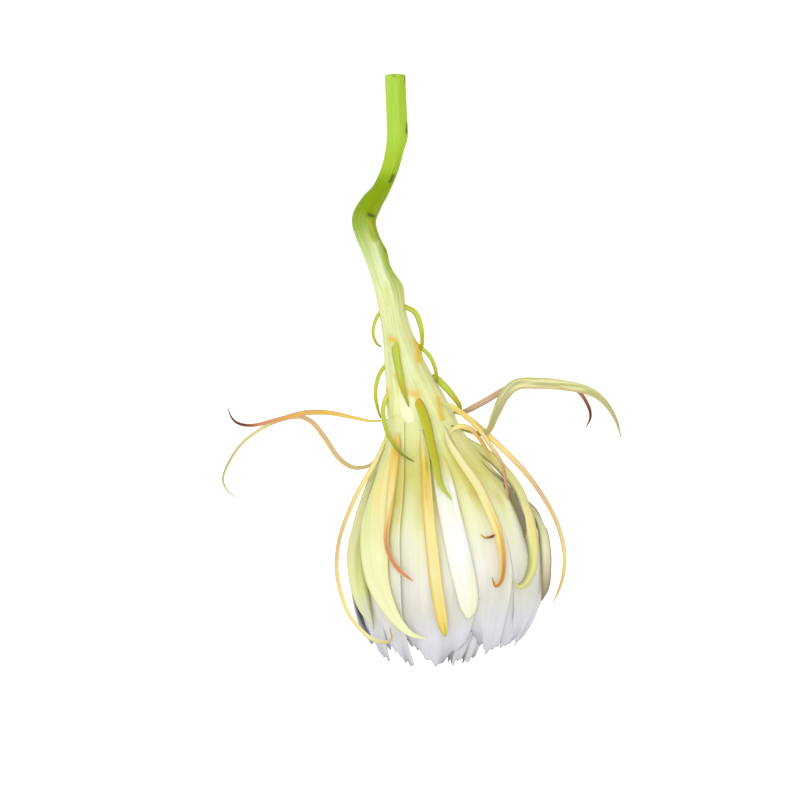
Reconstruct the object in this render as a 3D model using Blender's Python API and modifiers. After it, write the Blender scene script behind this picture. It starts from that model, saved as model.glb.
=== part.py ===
"""An orchid cactus flower, picked and lying on a table: floral tube, tepals, petals, stamens and style.

The bloom lies along -Y and the tube along +Y, with +Z up. Lengths are in millimetres, and MM makes them
metres. Places in the flower's outline are given as they show from EYE above the bloom's middle height.
"""

import math
import random

import bmesh
import bpy
import numpy as np
from mathutils import Vector

MM = 0.001

# The point of view that the outline's places are given for
EYE = 889.0
MIDDLE = 38.0

# What lies under the middle of the whole flower, which is the model's origin
ORIGIN_X = 9.1
ORIGIN_Y = 14.87

# Thicknesses and the gap that touching pieces keep
GAP = 0.3
PETAL_THICK = 0.75
STRAP_THICK = 0.85

# A ribbon wider than this is curved across
WRAPPED_WIDTH = 6.0

# The seam across the throat, where the tube ends and the tepals begin, and where petals are rooted behind it
SEAM = 4.8
ROOTS = 2.8
COLLAR_END = -16.8
RING_END = 0.0

# The bell of the bloom: place along Y, middle X, middle height, radius
BELL = [
    (8.0, 4.4, 33.7, 10.2),
    (4.8, 5.2, 34.0, 11.0),
    (-4.8, 8.0, 34.8, 13.4),
    (-12.0, 9.6, 35.5, 16.0),
    (-20.0, 11.4, 36.3, 20.4),
    (-32.0, 14.8, 37.3, 28.6),
    (-42.0, 17.2, 37.9, 35.0),
    (-52.0, 18.6, 38.0, 39.6),
    (-64.0, 19.4, 38.0, 41.8),
    (-74.0, 19.4, 38.0, 41.4),
    (-84.0, 18.6, 38.0, 38.8),
    (-94.0, 17.6, 38.0, 34.0),
    (-102.0, 16.6, 38.0, 29.4),
    (-110.0, 15.6, 38.0, 24.5),
]
FLATTENED = 0.86

# The floral tube's middle line: X, Y, height, radius. It is cut straight across at its far end
STEM_END = 134.9
TUBE = [
    (-2.0, 130.4, 4.2, 4.2),
    (-1.6, 120.0, 4.4, 4.2),
    (-1.2, 108.0, 5.0, 4.2),
    (-2.2, 100.0, 5.5, 3.7),
    (-4.2, 92.0, 6.2, 3.5),
    (-7.8, 84.0, 7.2, 3.6),
    (-11.6, 78.5, 8.4, 4.5),
    (-14.4, 72.5, 10.0, 5.0),
    (-13.6, 67.0, 11.3, 4.7),
    (-10.8, 60.0, 13.2, 4.6),
    (-8.0, 52.0, 16.0, 4.6),
    (-4.6, 43.0, 20.3, 5.5),
    (-2.6, 33.0, 24.2, 5.6),
    (-0.6, 24.0, 27.4, 6.4),
    (1.6, 15.0, 30.6, 8.2),
    (5.2, 4.8, 34.0, 11.0),
    (7.0, 0.0, 35.2, 12.4),
]

# Small curled scales on the tube: X, Y, height, width, each from its root to its tip
TUBE_SCALES = {
    "front_scale": [(-1.8, 24.5, 32.6, 1.6), (-1.4, 20.0, 37.0, 3.2), (-0.8, 14.0, 40.6, 2.8),
                    (0.8, 6.0, 45.8, 2.0), (3.4, 0.6, 48.6, 0.8)],
    "right_scale_high": [(1.6, 37.6, 25.0, 1.8), (6.2, 34.8, 28.0, 1.9), (8.6, 28.0, 29.5, 1.8),
                         (8.8, 22.0, 31.5, 1.4), (7.6, 18.6, 33.0, 0.8)],
    "right_scale_middle": [(5.6, 23.0, 29.5, 1.6), (9.6, 20.0, 32.0, 1.6), (12.6, 16.4, 34.0, 1.6),
                           (14.4, 11.2, 35.5, 1.4), (14.8, 7.2, 37.0, 0.8)],
    "right_scale_low": [(13.0, 10.0, 34.0, 2.2), (16.2, 7.4, 36.0, 2.4), (20.0, 3.2, 38.0, 2.3),
                        (23.4, -1.4, 39.0, 1.8), (24.6, -4.4, 39.4, 0.9)],
    "left_scale_high": [(-6.2, 37.4, 22.5, 1.4), (-9.4, 32.8, 26.0, 1.5), (-10.8, 27.2, 28.0, 1.3),
                        (-9.4, 22.8, 30.0, 1.1), (-7.2, 21.2, 31.0, 0.8)],
    "left_scale_low": [(-4.8, 15.6, 31.5, 1.5), (-8.6, 9.4, 35.0, 1.6), (-9.8, 2.4, 37.5, 1.5),
                       (-8.8, -3.6, 39.5, 1.2), (-7.6, -7.4, 40.5, 0.8)],
    "under_scale_high": [(-4.2, 45.0, 16.0, 2.0), (-3.8, 39.0, 14.0, 2.4), (-2.8, 31.0, 15.5, 1.8),
                         (-1.8, 25.0, 17.5, 0.8)],
    "under_scale_low": [(1.8, 17.0, 24.2, 2.4), (2.6, 10.0, 21.0, 2.8), (4.0, 2.0, 19.6, 2.0),
                        (5.4, -4.0, 19.4, 0.8)],
}

# Outer tepals that hang free: X, Y, height above the table, width
FREE_TEPALS = {
    "left_high": [(-5.0, -8.0, 34.6, 1.4), (-11.2, -8.4, 36.5, 1.4), (-18.0, -7.2, 35.5, 1.8),
                  (-28.0, -5.2, 31.5, 2.4), (-38.0, -5.2, 25.0, 2.6), (-48.0, -7.6, 16.5, 2.2),
                  (-58.0, -10.0, 7.5, 1.8), (-64.0, -9.6, 2.8, 1.6), (-67.2, -7.2, 1.2, 1.2),
                  (-68.8, -3.2, 1.0, 0.7)],
    "left_low": [(-3.2, -12.0, 27.4, 1.4), (-8.2, -22.0, 26.4, 1.6), (-12.8, -26.4, 25.4, 1.8),
                 (-19.2, -26.8, 24.4, 2.2), (-24.8, -22.8, 22.8, 2.4), (-30.0, -15.2, 20.0, 2.4),
                 (-35.2, -8.8, 16.5, 2.4), (-40.8, -6.6, 13.0, 2.4), (-48.0, -8.0, 9.0, 2.2),
                 (-55.2, -11.2, 5.6, 2.0), (-62.8, -16.8, 3.0, 1.8), (-68.0, -24.0, 1.6, 1.5),
                 (-70.8, -31.2, 1.1, 1.3), (-69.2, -36.0, 1.0, 1.0), (-66.0, -38.8, 1.0, 0.7)],
    "right_pink": [(19.6, -4.6, 30.5, 1.6), (25.2, -4.8, 31.0, 2.6), (34.0, -0.4, 31.5, 2.8),
                   (43.2, 4.8, 29.0, 2.6), (54.0, 7.0, 22.5, 2.4), (64.0, 6.0, 15.5, 2.4),
                   (71.2, 3.6, 9.0, 2.2), (75.2, -2.0, 4.2, 2.0), (76.2, -6.8, 1.8, 1.5),
                   (74.4, -10.8, 1.0, 0.8)],
    "right_broad": [(20.4, -10.2, 44.7, 1.4), (28.0, -12.8, 44.6, 1.8), (34.8, -12.8, 45.5, 2.6),
                    (38.2, -6.0, 46.0, 3.6), (42.0, 2.0, 45.5, 4.6), (47.2, 6.4, 43.0, 4.9),
                    (56.0, 6.8, 36.5, 5.0), (66.0, 6.0, 28.0, 4.6), (76.0, 3.6, 17.5, 4.0),
                    (82.0, -0.8, 9.5, 3.2), (86.4, -8.0, 2.8, 2.0), (88.4, -15.2, 1.0, 0.7)],
    "right_loop": [(20.4, -5.0, 36.6, 1.6), (26.0, -6.4, 40.5, 2.4), (34.8, -13.6, 44.0, 2.7),
                   (48.0, -26.4, 46.0, 2.8), (56.4, -37.2, 45.5, 2.6), (62.4, -48.0, 44.0, 2.4),
                   (65.6, -59.2, 42.5, 2.2), (65.6, -68.0, 41.0, 1.9), (63.8, -75.2, 40.5, 1.5),
                   (61.2, -80.8, 40.5, 0.8)],
}

# Outer tepals on the bell's front and sides: X, Y, lift off its surface, width
FRONT_TEPALS = {
    "right_arch": [(15.6, -0.6, -0.5, 1.4), (20.8, -2.6, 4.0, 2.6), (26.4, -6.4, 7.5, 2.8),
                   (32.0, -12.0, 9.2, 2.8), (37.2, -19.2, 8.7, 2.7), (40.8, -25.2, 6.6, 2.4),
                   (42.4, -32.0, 3.2, 2.2), (43.2, -40.0, 1.8, 0.9)],
    "left_edge": [(-4.2, -13.0, -0.6, 1.6), (-11.4, -27.2, 1.6, 2.4), (-18.4, -40.0, 2.6, 2.4),
                  (-23.8, -54.0, 3.2, 2.3), (-25.4, -66.0, 3.8, 2.2), (-24.0, -76.0, 3.2, 2.2),
                  (-20.2, -86.0, 2.2, 2.1), (-13.2, -94.2, 1.8, 2.0), (-6.8, -97.0, 1.6, 1.8),
                  (-3.4, -95.6, 1.6, 1.3), (-4.0, -91.2, 1.6, 0.8)],
    "front_left": [(-0.8, -12.0, -0.8, 3.6), (-1.8, -20.0, 1.4, 3.8), (-2.6, -28.0, 1.6, 3.6),
                   (-4.4, -44.0, 1.6, 3.0), (-5.6, -56.0, 1.6, 2.4), (-3.6, -63.2, 1.6, 2.3),
                   (0.0, -68.4, 1.8, 2.2), (5.2, -72.4, 2.2, 1.0)],
    "front_middle": [(8.6, -12.0, -0.9, 3.4), (9.8, -22.0, 1.1, 3.8), (10.8, -36.0, 1.3, 4.2),
                     (11.6, -48.0, 1.4, 4.6), (12.8, -60.0, 1.4, 5.0), (14.4, -74.0, 1.4, 5.0),
                     (16.4, -86.0, 1.4, 4.6), (18.0, -94.4, 1.4, 3.2)],
    "front_right": [(17.2, -11.0, -0.6, 1.8), (20.4, -18.0, 1.2, 3.0), (24.8, -24.8, 1.5, 3.6),
                    (31.2, -34.0, 1.6, 4.2), (36.0, -44.0, 1.6, 4.2), (39.6, -54.0, 1.6, 3.8),
                    (41.2, -64.0, 1.6, 3.2), (40.6, -71.6, 1.8, 2.6), (38.2, -74.4, 2.4, 1.8),
                    (36.8, -70.8, 3.2, 0.9)],
    "front_bract": [(5.4, 3.0, -0.9, 3.4), (9.6, -6.0, 2.6, 4.0), (12.2, -16.0, 3.2, 3.6),
                    (14.4, -26.0, 3.2, 3.0), (16.4, -34.0, 3.0, 2.2), (20.8, -40.0, 2.6, 0.9)],
    "left_bract": [(-2.4, 2.4, -0.9, 2.4), (-5.6, -5.0, 3.2, 2.6), (-4.4, -12.6, 3.2, 2.4),
                   (-1.8, -18.4, 3.6, 2.0), (1.6, -22.4, 3.6, 1.6), (5.4, -25.6, 3.2, 0.9)],
}

# Outer tepals on the side that lies down: angle from the front, and how far they reach along Y
HIDDEN_TEPALS = [(102, -88), (126, -82), (150, -92), (-154, -84), (-130, -92), (-106, -80)]

# Middle tepals on the front and sides: X, Y, lift off the bell, width
MIDDLE_TEPALS = {
    "wide_left": [(0.6, 1.6, -2.6, 2.6), (-1.6, -8.0, -2.8, 3.6), (-3.6, -18.0, -2.5, 4.8),
                  (-7.6, -28.0, -1.1, 7.4), (-10.6, -40.0, -0.3, 9.6), (-11.4, -56.0, -0.1, 10.4),
                  (-10.0, -70.0, -0.1, 9.0), (-6.4, -80.0, -0.2, 6.8), (-1.6, -88.0, -0.1, 4.4),
                  (4.4, -93.6, 0.0, 2.4), (11.2, -95.6, 0.1, 0.9)],
    "green_left": [(-1.4, 1.2, -2.6, 2.4), (-2.8, -8.0, -2.8, 3.0), (-4.8, -17.0, -2.6, 3.4),
                   (-11.4, -36.0, -0.7, 5.6), (-17.2, -56.0, -0.8, 7.0), (-17.8, -68.0, -0.8, 6.8),
                   (-15.4, -80.0, -0.9, 5.4), (-10.4, -91.6, -1.0, 0.9)],
    "right_hook": [(14.0, 1.0, -2.6, 2.6), (18.6, -8.0, -2.8, 3.2), (24.4, -18.6, -2.5, 4.0),
                   (33.8, -25.6, 0.0, 5.0), (43.2, -31.2, 1.2, 5.4), (51.2, -42.0, 0.6, 5.6),
                   (56.0, -54.0, 0.2, 5.2), (57.6, -62.0, 0.2, 4.8), (55.6, -70.0, 0.4, 4.0),
                   (50.6, -74.8, 0.6, 3.0), (46.0, -74.0, 0.8, 2.0), (44.8, -70.8, 1.0, 0.9)],
    "grey_right": [(14.8, 1.4, -2.6, 2.2), (19.4, -8.0, -2.8, 2.8), (24.4, -16.0, -2.5, 3.4),
                   (31.0, -24.0, -1.6, 4.0), (42.0, -34.0, -0.8, 4.6), (54.4, -48.0, -0.8, 5.4),
                   (59.2, -60.0, -0.8, 5.6), (59.8, -70.0, -0.8, 5.0), (58.2, -78.0, -0.8, 3.6),
                   (56.4, -82.4, -0.8, 0.9)],
    "white_roll": [(10.4, 1.2, -2.6, 2.8), (11.8, -8.0, -2.8, 3.8), (13.4, -18.0, -2.5, 5.0),
                   (16.4, -28.0, -1.0, 7.2), (20.0, -46.0, -0.7, 8.8), (23.6, -62.0, -0.7, 9.4),
                   (26.8, -76.0, -0.7, 8.6), (28.0, -84.0, -0.7, 5.4), (28.0, -88.0, -0.7, 1.6)],
}

# Middle tepals on the side that lies down: angle from the front, tip along Y, widest, lift
UNDER_TEPALS = [
    (100, -84, 9.0, -0.9),
    (124, -92, 10.0, -0.9),
    (150, -86, 10.0, -0.9),
    (-150, -90, 10.0, -0.9),
    (-124, -84, 10.0, -0.9),
    (-100, -92, 9.0, -0.9),
]
RESTING_TEPAL = (178, -94, 17.0, 3.1)
WIDE_TEPAL = 12.0

# The block that shaves the resting tepal flat, and how deep the table presses into it
TABLE = (120.0, 120.0, 10.0)
PRESSED = 0.1
STYLE_MIDDLE = 18.0

# How far under the bell's surface the tepals on the lower side run in the throat, and where they rise
UNDER_INSET = 2.5
UNDER_RISES_FROM = -21.0
UNDER_RISES_OVER = 12.0

# Layers of broad petals: inset at the throat and on the bell, widest, then each one's angle and tip along Y
PETAL_LAYERS = [
    (5.0, 3.1, 33.0, [(-62, -101), (-27, -104.2), (33, -97.6), (62, -94.5), (98, -93), (138, -97),
                      (178, -99), (-142, -98), (-102, -98)]),
    (5.5, 5.7, 32.0, [(-46, -101), (-3, -105.0), (23, -101.4), (78, -92.5), (118, -95), (160, -98),
                      (-160, -97), (-122, -99), (-84, -97)]),
    (6.0, 8.4, 29.0, [(10, -97), (82, -93), (154, -96), (-134, -95), (-62, -98)]),
]

# A petal's width at its root, where it is widest, the share of that left at its end, and its tip's length
PETAL_ROOT = 4.1
PETAL_WIDEST_AT = 0.6
PETAL_END = 0.52
PETAL_POINT = 7.5

# One edge of a petal is this much further out than its middle, and the other as much further in
PETAL_TILT = 0.9
PETAL_RISES_FROM = -14.0
PETAL_RISES_OVER = 32.0

# Rings of stamens: how many, inset at the throat, spread as a share of the bell's radius, tips along Y
STAMEN_RINGS = [(14, 7.2, 0.62, -72.0), (10, 8.0, 0.40, -64.0)]
FILAMENT_RADIUS = 0.42
ANTHER_RADIUS = 0.85
ANTHER_LENGTH = 3.6
ANTHER_SHOULDER = 0.6
ANTHER_END_RADIUS = 0.3

STYLE_RADIUS = 1.7
STYLE_TIP = -86.0
STIGMA_LOBES = 12
STIGMA_LENGTH = 15.0
STIGMA_SPREAD = 8.5
STIGMA_ROOT = 0.7
LOBE_RADIUS = 0.75
LOBE_END_RADIUS = 0.45

# Colour and roughness of each piece
FINISHES = {
    "floral_tube": ((0.40, 0.62, 0.06), 0.45),
    "outer_tepals": ((0.75, 0.58, 0.14), 0.5),
    "middle_tepals": ((0.80, 0.76, 0.45), 0.5),
    "inner_petals": ((0.83, 0.82, 0.70), 0.5),
    "stamens": ((0.85, 0.78, 0.45), 0.6),
    "style": ((0.85, 0.82, 0.62), 0.5),
}

ORIGIN = Vector((ORIGIN_X, ORIGIN_Y, 0.0))


def smooth(points, count):
    """This many points, evenly spaced, on a smooth curve through the given ones."""
    knots = np.array(points, float)
    ends = np.vstack([2 * knots[0] - knots[1], knots, 2 * knots[-1] - knots[-2]])
    steps = np.linspace(0, 1, 12, endpoint=False)[:, None]
    dense = []
    for a, b, c, d in zip(ends, ends[1:], ends[2:], ends[3:]):
        cubic = (3 * b - a - 3 * c + d) * steps**3 + (2 * a - 5 * b + 4 * c - d) * steps**2
        dense.append(b + 0.5 * ((c - a) * steps + cubic))
    dense = np.vstack(dense + [knots[-1:]])
    walked = np.concatenate([[0], np.cumsum(np.linalg.norm(np.diff(dense[:, :3], axis=0), axis=1))])
    wanted = np.linspace(0, walked[-1], count)
    return np.column_stack([np.interp(wanted, walked, column) for column in dense.T])


BELL_ROWS = smooth(BELL, 120)[::-1]


def ease(x):
    """0 to 1 with a soft start and end."""
    x = min(max(x, 0.0), 1.0)
    return x * x * (3 - 2 * x)


def bell_section(y):
    """The bell's middle X, middle height, radius and flattening at this place along Y."""
    middle_x, middle_z, radius = (np.interp(y, BELL_ROWS[:, 0], BELL_ROWS[:, i]) for i in (1, 2, 3))
    depth = 1 + (FLATTENED - 1) * ease(-y / 40)
    return middle_x, middle_z, radius, depth


def on_bell(y, angle, inset):
    """A point this far under the bell's surface, at an angle in radians from the front."""
    middle_x, middle_z, radius, depth = bell_section(y)
    reach = radius - inset
    return Vector((middle_x + reach * math.sin(angle), y, middle_z + depth * reach * math.cos(angle)))


def seen(x, y, z):
    """The point at height z that shows at x, y from EYE above the bloom's middle."""
    nearer = (EYE - (z - MIDDLE)) / EYE
    return Vector((x * nearer, y * nearer, z))


def front_height(x, y, lift):
    """The height of a point lifted off the bell's front, or of the bell's middle outside its outline."""
    middle_x, middle_z, radius, depth = bell_section(y)
    rise = (radius + lift) ** 2 - (x - middle_x) ** 2
    return middle_z + depth * math.sqrt(max(rise, 0.0))


def over_bell(route):
    """The route's points with their lift off the bell turned into a place in space."""
    placed = []
    for x, y, lift, width in route:
        guess = seen(x, y, front_height(x, y, lift))
        point = seen(x, y, front_height(guess.x, guess.y, lift))
        placed.append((*point, width))
    return placed


def over_table(route):
    return [(*seen(x, y, z), width) for x, y, z, width in route]


def facing(point, upturn):
    """Which way a strap's face is turned: away from the bell's middle line, and up as far as upturn says."""
    middle_x, middle_z, _, _ = bell_section(min(point[1], 0))
    away = Vector((point[0] - middle_x, 0, point[2] - middle_z)).normalized()
    return (away + Vector((0, 0, upturn))).normalized()


def blade(name, across, along, place, thickness, crowding=1.0):
    """A thin solid round the surface place(u, v), with u from -1 to 1 across and v from 0 to 1 along.

    Rows are evenly spaced at a crowding of 1, and closer towards the tip above that.
    """
    shape = bmesh.new()
    bmesh.ops.create_grid(shape, x_segments=across, y_segments=along, size=1)
    for vertex in shape.verts:
        v = 1 - ((1 - vertex.co.y) / 2) ** crowding
        vertex.co = (place(vertex.co.x, v) - ORIGIN) * MM
    bmesh.ops.triangulate(shape, faces=shape.faces[:])
    mesh = bpy.data.meshes.new(name)
    shape.to_mesh(mesh)
    shape.free()
    piece = bpy.data.objects.new(name, mesh)
    wall = piece.modifiers.new("Thickness", "SOLIDIFY")
    wall.thickness = thickness * MM
    wall.offset = 0
    return piece


def strap(name, placed, thickness, upturn=0.7):
    """A ribbon along placed points, which are X, Y, height and width."""
    along = round(1.7 * len(placed))
    across = 2 if max(width for _, _, _, width in placed) > WRAPPED_WIDTH else 1
    line = smooth(placed, along + 1)
    sides, faces = [], []
    for point, tangent in zip(line, np.gradient(line[:, :3], axis=0)):
        side = Vector(tangent).cross(facing(point, upturn)).normalized()
        sides.append(side)
        faces.append(side.cross(Vector(tangent)).normalized())

    def place(u, v):
        i = round(v * along)
        half = line[i, 3] / 2
        drop = (u * half) ** 2 / bell_section(line[i, 1])[2] / 2
        return Vector(line[i, :3]) + sides[i] * (u * half) - faces[i] * drop

    return blade(name, across, along, place, thickness)


def ring(name, sides, levels, start, end, inset, thickness):
    """A short closed wall round the bell, cut straight across at start and end along Y."""
    outside = [(y, inset) for y in np.linspace(start, end, levels + 1)]
    inside = [(y, inset + thickness) for y, _ in reversed(outside)]
    profile = outside + inside + outside[:1]
    shape = bmesh.new()
    bmesh.ops.create_grid(shape, x_segments=sides, y_segments=len(profile) - 1, size=1)
    for vertex in shape.verts:
        y, depth = profile[round((vertex.co.y + 1) / 2 * (len(profile) - 1))]
        vertex.co = (on_bell(y, math.pi * vertex.co.x, depth) - ORIGIN) * MM
    bmesh.ops.remove_doubles(shape, verts=shape.verts[:], dist=1e-6)
    bmesh.ops.recalc_face_normals(shape, faces=shape.faces[:])
    mesh = bpy.data.meshes.new(name)
    shape.to_mesh(mesh)
    shape.free()
    return bpy.data.objects.new(name, mesh)


def rod(name, line, resolution):
    """A round rod along X, Y, height and radius, as a mesh with closed ends."""
    data = bpy.data.curves.new(name, "CURVE")
    data.dimensions = "3D"
    data.bevel_depth = MM
    data.bevel_resolution = resolution
    data.use_fill_caps = True
    spline = data.splines.new("POLY")
    spline.points.add(len(line) - 1)
    for point, (x, y, z, radius) in zip(spline.points, line):
        point.co = (*((Vector((x, y, z)) - ORIGIN) * MM), 1)
        point.radius = radius
    guide = bpy.data.objects.new(name + "_line", data)
    bpy.context.scene.collection.objects.link(guide)
    graph = bpy.context.evaluated_depsgraph_get()
    mesh = bpy.data.meshes.new_from_object(guide.evaluated_get(graph))
    bpy.data.objects.remove(guide)
    shape = bmesh.new()
    shape.from_mesh(mesh)
    bmesh.ops.remove_doubles(shape, verts=shape.verts[:], dist=1e-7)
    bmesh.ops.recalc_face_normals(shape, faces=shape.faces[:])
    shape.to_mesh(mesh)
    shape.free()
    return bpy.data.objects.new(name, mesh)


def cut_across(piece, y, keep_above):
    """Cuts a closed mesh straight across at this place along Y and closes the cut."""
    shape = bmesh.new()
    shape.from_mesh(piece.data)
    everything = shape.verts[:] + shape.edges[:] + shape.faces[:]
    place = (Vector((0, y, 0)) - ORIGIN) * MM
    place.x = 0
    cut = bmesh.ops.bisect_plane(
        shape,
        geom=everything,
        plane_co=place,
        plane_no=(0, 1, 0),
        clear_inner=keep_above,
        clear_outer=not keep_above,
    )
    rim = [item for item in cut["geom_cut"] if isinstance(item, bmesh.types.BMEdge)]
    bmesh.ops.contextual_create(shape, geom=rim)
    bmesh.ops.recalc_face_normals(shape, faces=shape.faces[:])
    shape.to_mesh(piece.data)
    shape.free()
    return piece


def biggest_body(mesh):
    """Leaves the biggest body of the mesh and drops loose scraps and walled-in hollows."""
    shape = bmesh.new()
    shape.from_mesh(mesh)
    unseen = set(shape.verts)
    bodies = []
    while unseen:
        body = set()
        edge_of_body = [unseen.pop()]
        while edge_of_body:
            vertex = edge_of_body.pop()
            body.add(vertex)
            for edge in vertex.link_edges:
                other = edge.other_vert(vertex)
                if other in unseen:
                    unseen.discard(other)
                    edge_of_body.append(other)
        bodies.append(body)
    bodies.sort(key=len)
    for body in bodies[:-1]:
        bmesh.ops.delete(shape, geom=list(body), context="VERTS")
    shape.to_mesh(mesh)
    shape.free()


def finish(name):
    colour, roughness = FINISHES[name]
    material = bpy.data.materials.new(name)
    material.use_nodes = True
    shader = material.node_tree.nodes["Principled BSDF"]
    shader.inputs["Base Color"].default_value = (*colour, 1)
    shader.inputs["Roughness"].default_value = roughness
    return material


def fuse(name, base, repeats, collection, cutter=None):
    """Joins the repeats to their base as one body, with one Boolean union, and cuts it if asked."""
    heap = bpy.data.collections.new(name + "_repeats")
    bpy.context.scene.collection.children.link(heap)
    for piece in repeats:
        heap.objects.link(piece)
    collection.objects.link(base)
    union = base.modifiers.new("Union", "BOOLEAN")
    union.operation = "UNION"
    union.operand_type = "COLLECTION"
    union.collection = heap
    union.solver = "MANIFOLD"
    if cutter:
        shave = base.modifiers.new("Shave", "BOOLEAN")
        shave.operation = "DIFFERENCE"
        shave.object = cutter
        shave.solver = "MANIFOLD"
    graph = bpy.context.evaluated_depsgraph_get()
    mesh = bpy.data.meshes.new_from_object(base.evaluated_get(graph))
    for piece in [base] + repeats:
        bpy.data.objects.remove(piece)
    bpy.data.collections.remove(heap)
    biggest_body(mesh)
    mesh.name = name
    mesh.materials.clear()
    mesh.materials.append(finish(name))
    mesh.shade_smooth()
    collection.objects.link(bpy.data.objects.new(name, mesh))


def floral_tube(collection):
    tube = rod("tube", smooth(over_table(TUBE), 32), 4)
    cut_across(tube, STEM_END, False)
    cut_across(tube, SEAM, True)
    scales = [strap(name, over_table(route), STRAP_THICK) for name, route in TUBE_SCALES.items()]
    fuse("floral_tube", tube, scales, collection)


def hidden_strap(name, angle, tip):
    """A narrow outer tepal on the side that lies down. It leaves the collar's wall and follows the bell."""
    root = COLLAR_END + 8

    def place(u, v):
        y = root + (tip - root) * v
        _, _, radius, _ = bell_section(y)
        half = 1.9 * (1 - v**3) + 0.4
        lift = 1.7 * ease(v * 6) - 0.8
        bend = math.radians(6 * math.sin(3 * v))
        return on_bell(y, math.radians(angle) + bend + u * half / radius, -lift)

    return blade(name, 1, 14, place, STRAP_THICK)


def outer_tepals(collection):
    collar = ring("collar", 24, 5, SEAM - GAP, COLLAR_END, 0.0, 1.5)
    straps = [strap(name, over_table(route), STRAP_THICK) for name, route in FREE_TEPALS.items()]
    straps += [strap(name, over_bell(route), STRAP_THICK) for name, route in FRONT_TEPALS.items()]
    straps += [hidden_strap(f"hidden_{i}", angle, tip) for i, (angle, tip) in enumerate(HIDDEN_TEPALS)]
    fuse("outer_tepals", collar, straps, collection)


def under_tepal(name, angle, tip, widest, lift):
    """A middle tepal on the side that lies down. The table presses flat what reaches it."""

    def place(u, v):
        y = ROOTS + (tip - ROOTS) * v
        _, _, radius, _ = bell_section(y)
        grown = 0.26 + 0.74 * ease(v / 0.6)
        taper = 1 - (max(v - 0.6, 0) / 0.4) ** 2
        half = widest / 2 * grown * max(taper, 0.06)
        inset = UNDER_INSET - (UNDER_INSET + lift) * ease((UNDER_RISES_FROM - y) / UNDER_RISES_OVER)
        point = on_bell(y, math.radians(angle) + u * half / radius, inset)
        point.z = max(point.z, PETAL_THICK / 2 - PRESSED)
        return point

    return blade(name, 2 if widest < WIDE_TEPAL else 6, 12, place, PETAL_THICK)


def table_cutter(collection):
    """The table under the bloom, as a block whose top is at height 0."""
    bpy.ops.mesh.primitive_cube_add(size=1)
    table = bpy.context.object
    table.name = "table_cutter"
    table.scale = [side * MM for side in TABLE]
    table.location = (Vector((STYLE_MIDDLE, STYLE_TIP, -TABLE[2] / 2)) - ORIGIN) * MM
    for holder in list(table.users_collection):
        holder.objects.unlink(table)
    collection.objects.link(table)
    table.hide_render = True
    table.display_type = "WIRE"
    return table


def middle_tepals(collection, cutters):
    root = ring("middle_ring", 20, 1, SEAM - GAP, RING_END, 1.8, 1.6)
    tepals = [strap(name, over_bell(route), PETAL_THICK, 0.0) for name, route in MIDDLE_TEPALS.items()]
    tepals += [under_tepal(f"under_{i}", *row) for i, row in enumerate(UNDER_TEPALS + [RESTING_TEPAL])]
    table = table_cutter(cutters)
    fuse("middle_tepals", root, tepals, collection, table)


def petal(name, angle, tip, throat_inset, bell_inset, widest, curl):
    """A broad petal wrapped round the bell, with one edge out and one in so that neighbours overlap."""

    def place(u, v):
        y = ROOTS + (tip - ROOTS) * v
        _, _, radius, _ = bell_section(y)
        taper = 1 - (1 - PETAL_END) * (max(v - PETAL_WIDEST_AT, 0) / (1 - PETAL_WIDEST_AT)) ** 2
        half = (PETAL_ROOT + (widest - PETAL_ROOT) * ease(v / PETAL_WIDEST_AT)) / 2 * taper
        risen = ease((PETAL_RISES_FROM - y) / PETAL_RISES_OVER)
        inset = throat_inset + (bell_inset - throat_inset - PETAL_TILT * u) * risen + curl * v**4
        behind_tip = PETAL_POINT * abs(u) ** 1.3 * v**8
        return on_bell(y + behind_tip, math.radians(angle) + u * half / (radius - inset), inset)

    return blade(name, 4, 8, place, PETAL_THICK, 1.4)


def inner_petals(collection):
    root = ring("inner_ring", 20, 1, SEAM - GAP, RING_END, 4.1, 2.3)
    draw = random.Random(11)
    petals = []
    for layer, (throat_inset, bell_inset, widest, places) in enumerate(PETAL_LAYERS):
        for i, (angle, tip) in enumerate(places):
            curl = draw.uniform(0, 1.5)
            name = f"petal_{layer}_{i}"
            petals.append(petal(name, angle, tip, throat_inset, bell_inset, widest, curl))
    fuse("inner_petals", root, petals, collection)


def stamen(name, angle, inset, spread, tip):
    """A filament that leaves the throat, leans out and ends in its anther."""
    _, _, throat, _ = bell_section(SEAM)
    line = []
    for v in np.linspace(0, 1, 6):
        y = ROOTS + (tip - ROOTS) * v
        middle_x, middle_z, radius, depth = bell_section(y)
        reach = (throat - inset) * (1 - v) + radius * spread * v**1.6
        x = middle_x + reach * math.sin(angle)
        z = middle_z + depth * reach * math.cos(angle)
        line.append((x, y, z, FILAMENT_RADIUS))
    end = np.array(line[-1][:3])
    ahead = end - np.array(line[-2][:3])
    ahead /= np.linalg.norm(ahead)
    shoulders = [(ANTHER_SHOULDER, ANTHER_RADIUS), (ANTHER_LENGTH - ANTHER_SHOULDER, ANTHER_RADIUS)]
    for distance, radius in shoulders + [(ANTHER_LENGTH, ANTHER_END_RADIUS)]:
        line.append((*(end + ahead * distance), radius))
    return rod(name, line, 0)


def stamens(collection):
    root = ring("stamen_ring", 16, 1, SEAM - GAP, RING_END, 6.7, 1.8)
    draw = random.Random(5)
    filaments = []
    for layer, (count, inset, spread, tip) in enumerate(STAMEN_RINGS):
        for i in range(count):
            angle = 2 * math.pi * (i + 0.5 * layer) / count
            filaments.append(stamen(f"stamen_{layer}_{i}", angle, inset, spread, tip + draw.uniform(-5, 5)))
    fuse("stamens", root, filaments, collection)


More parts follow.
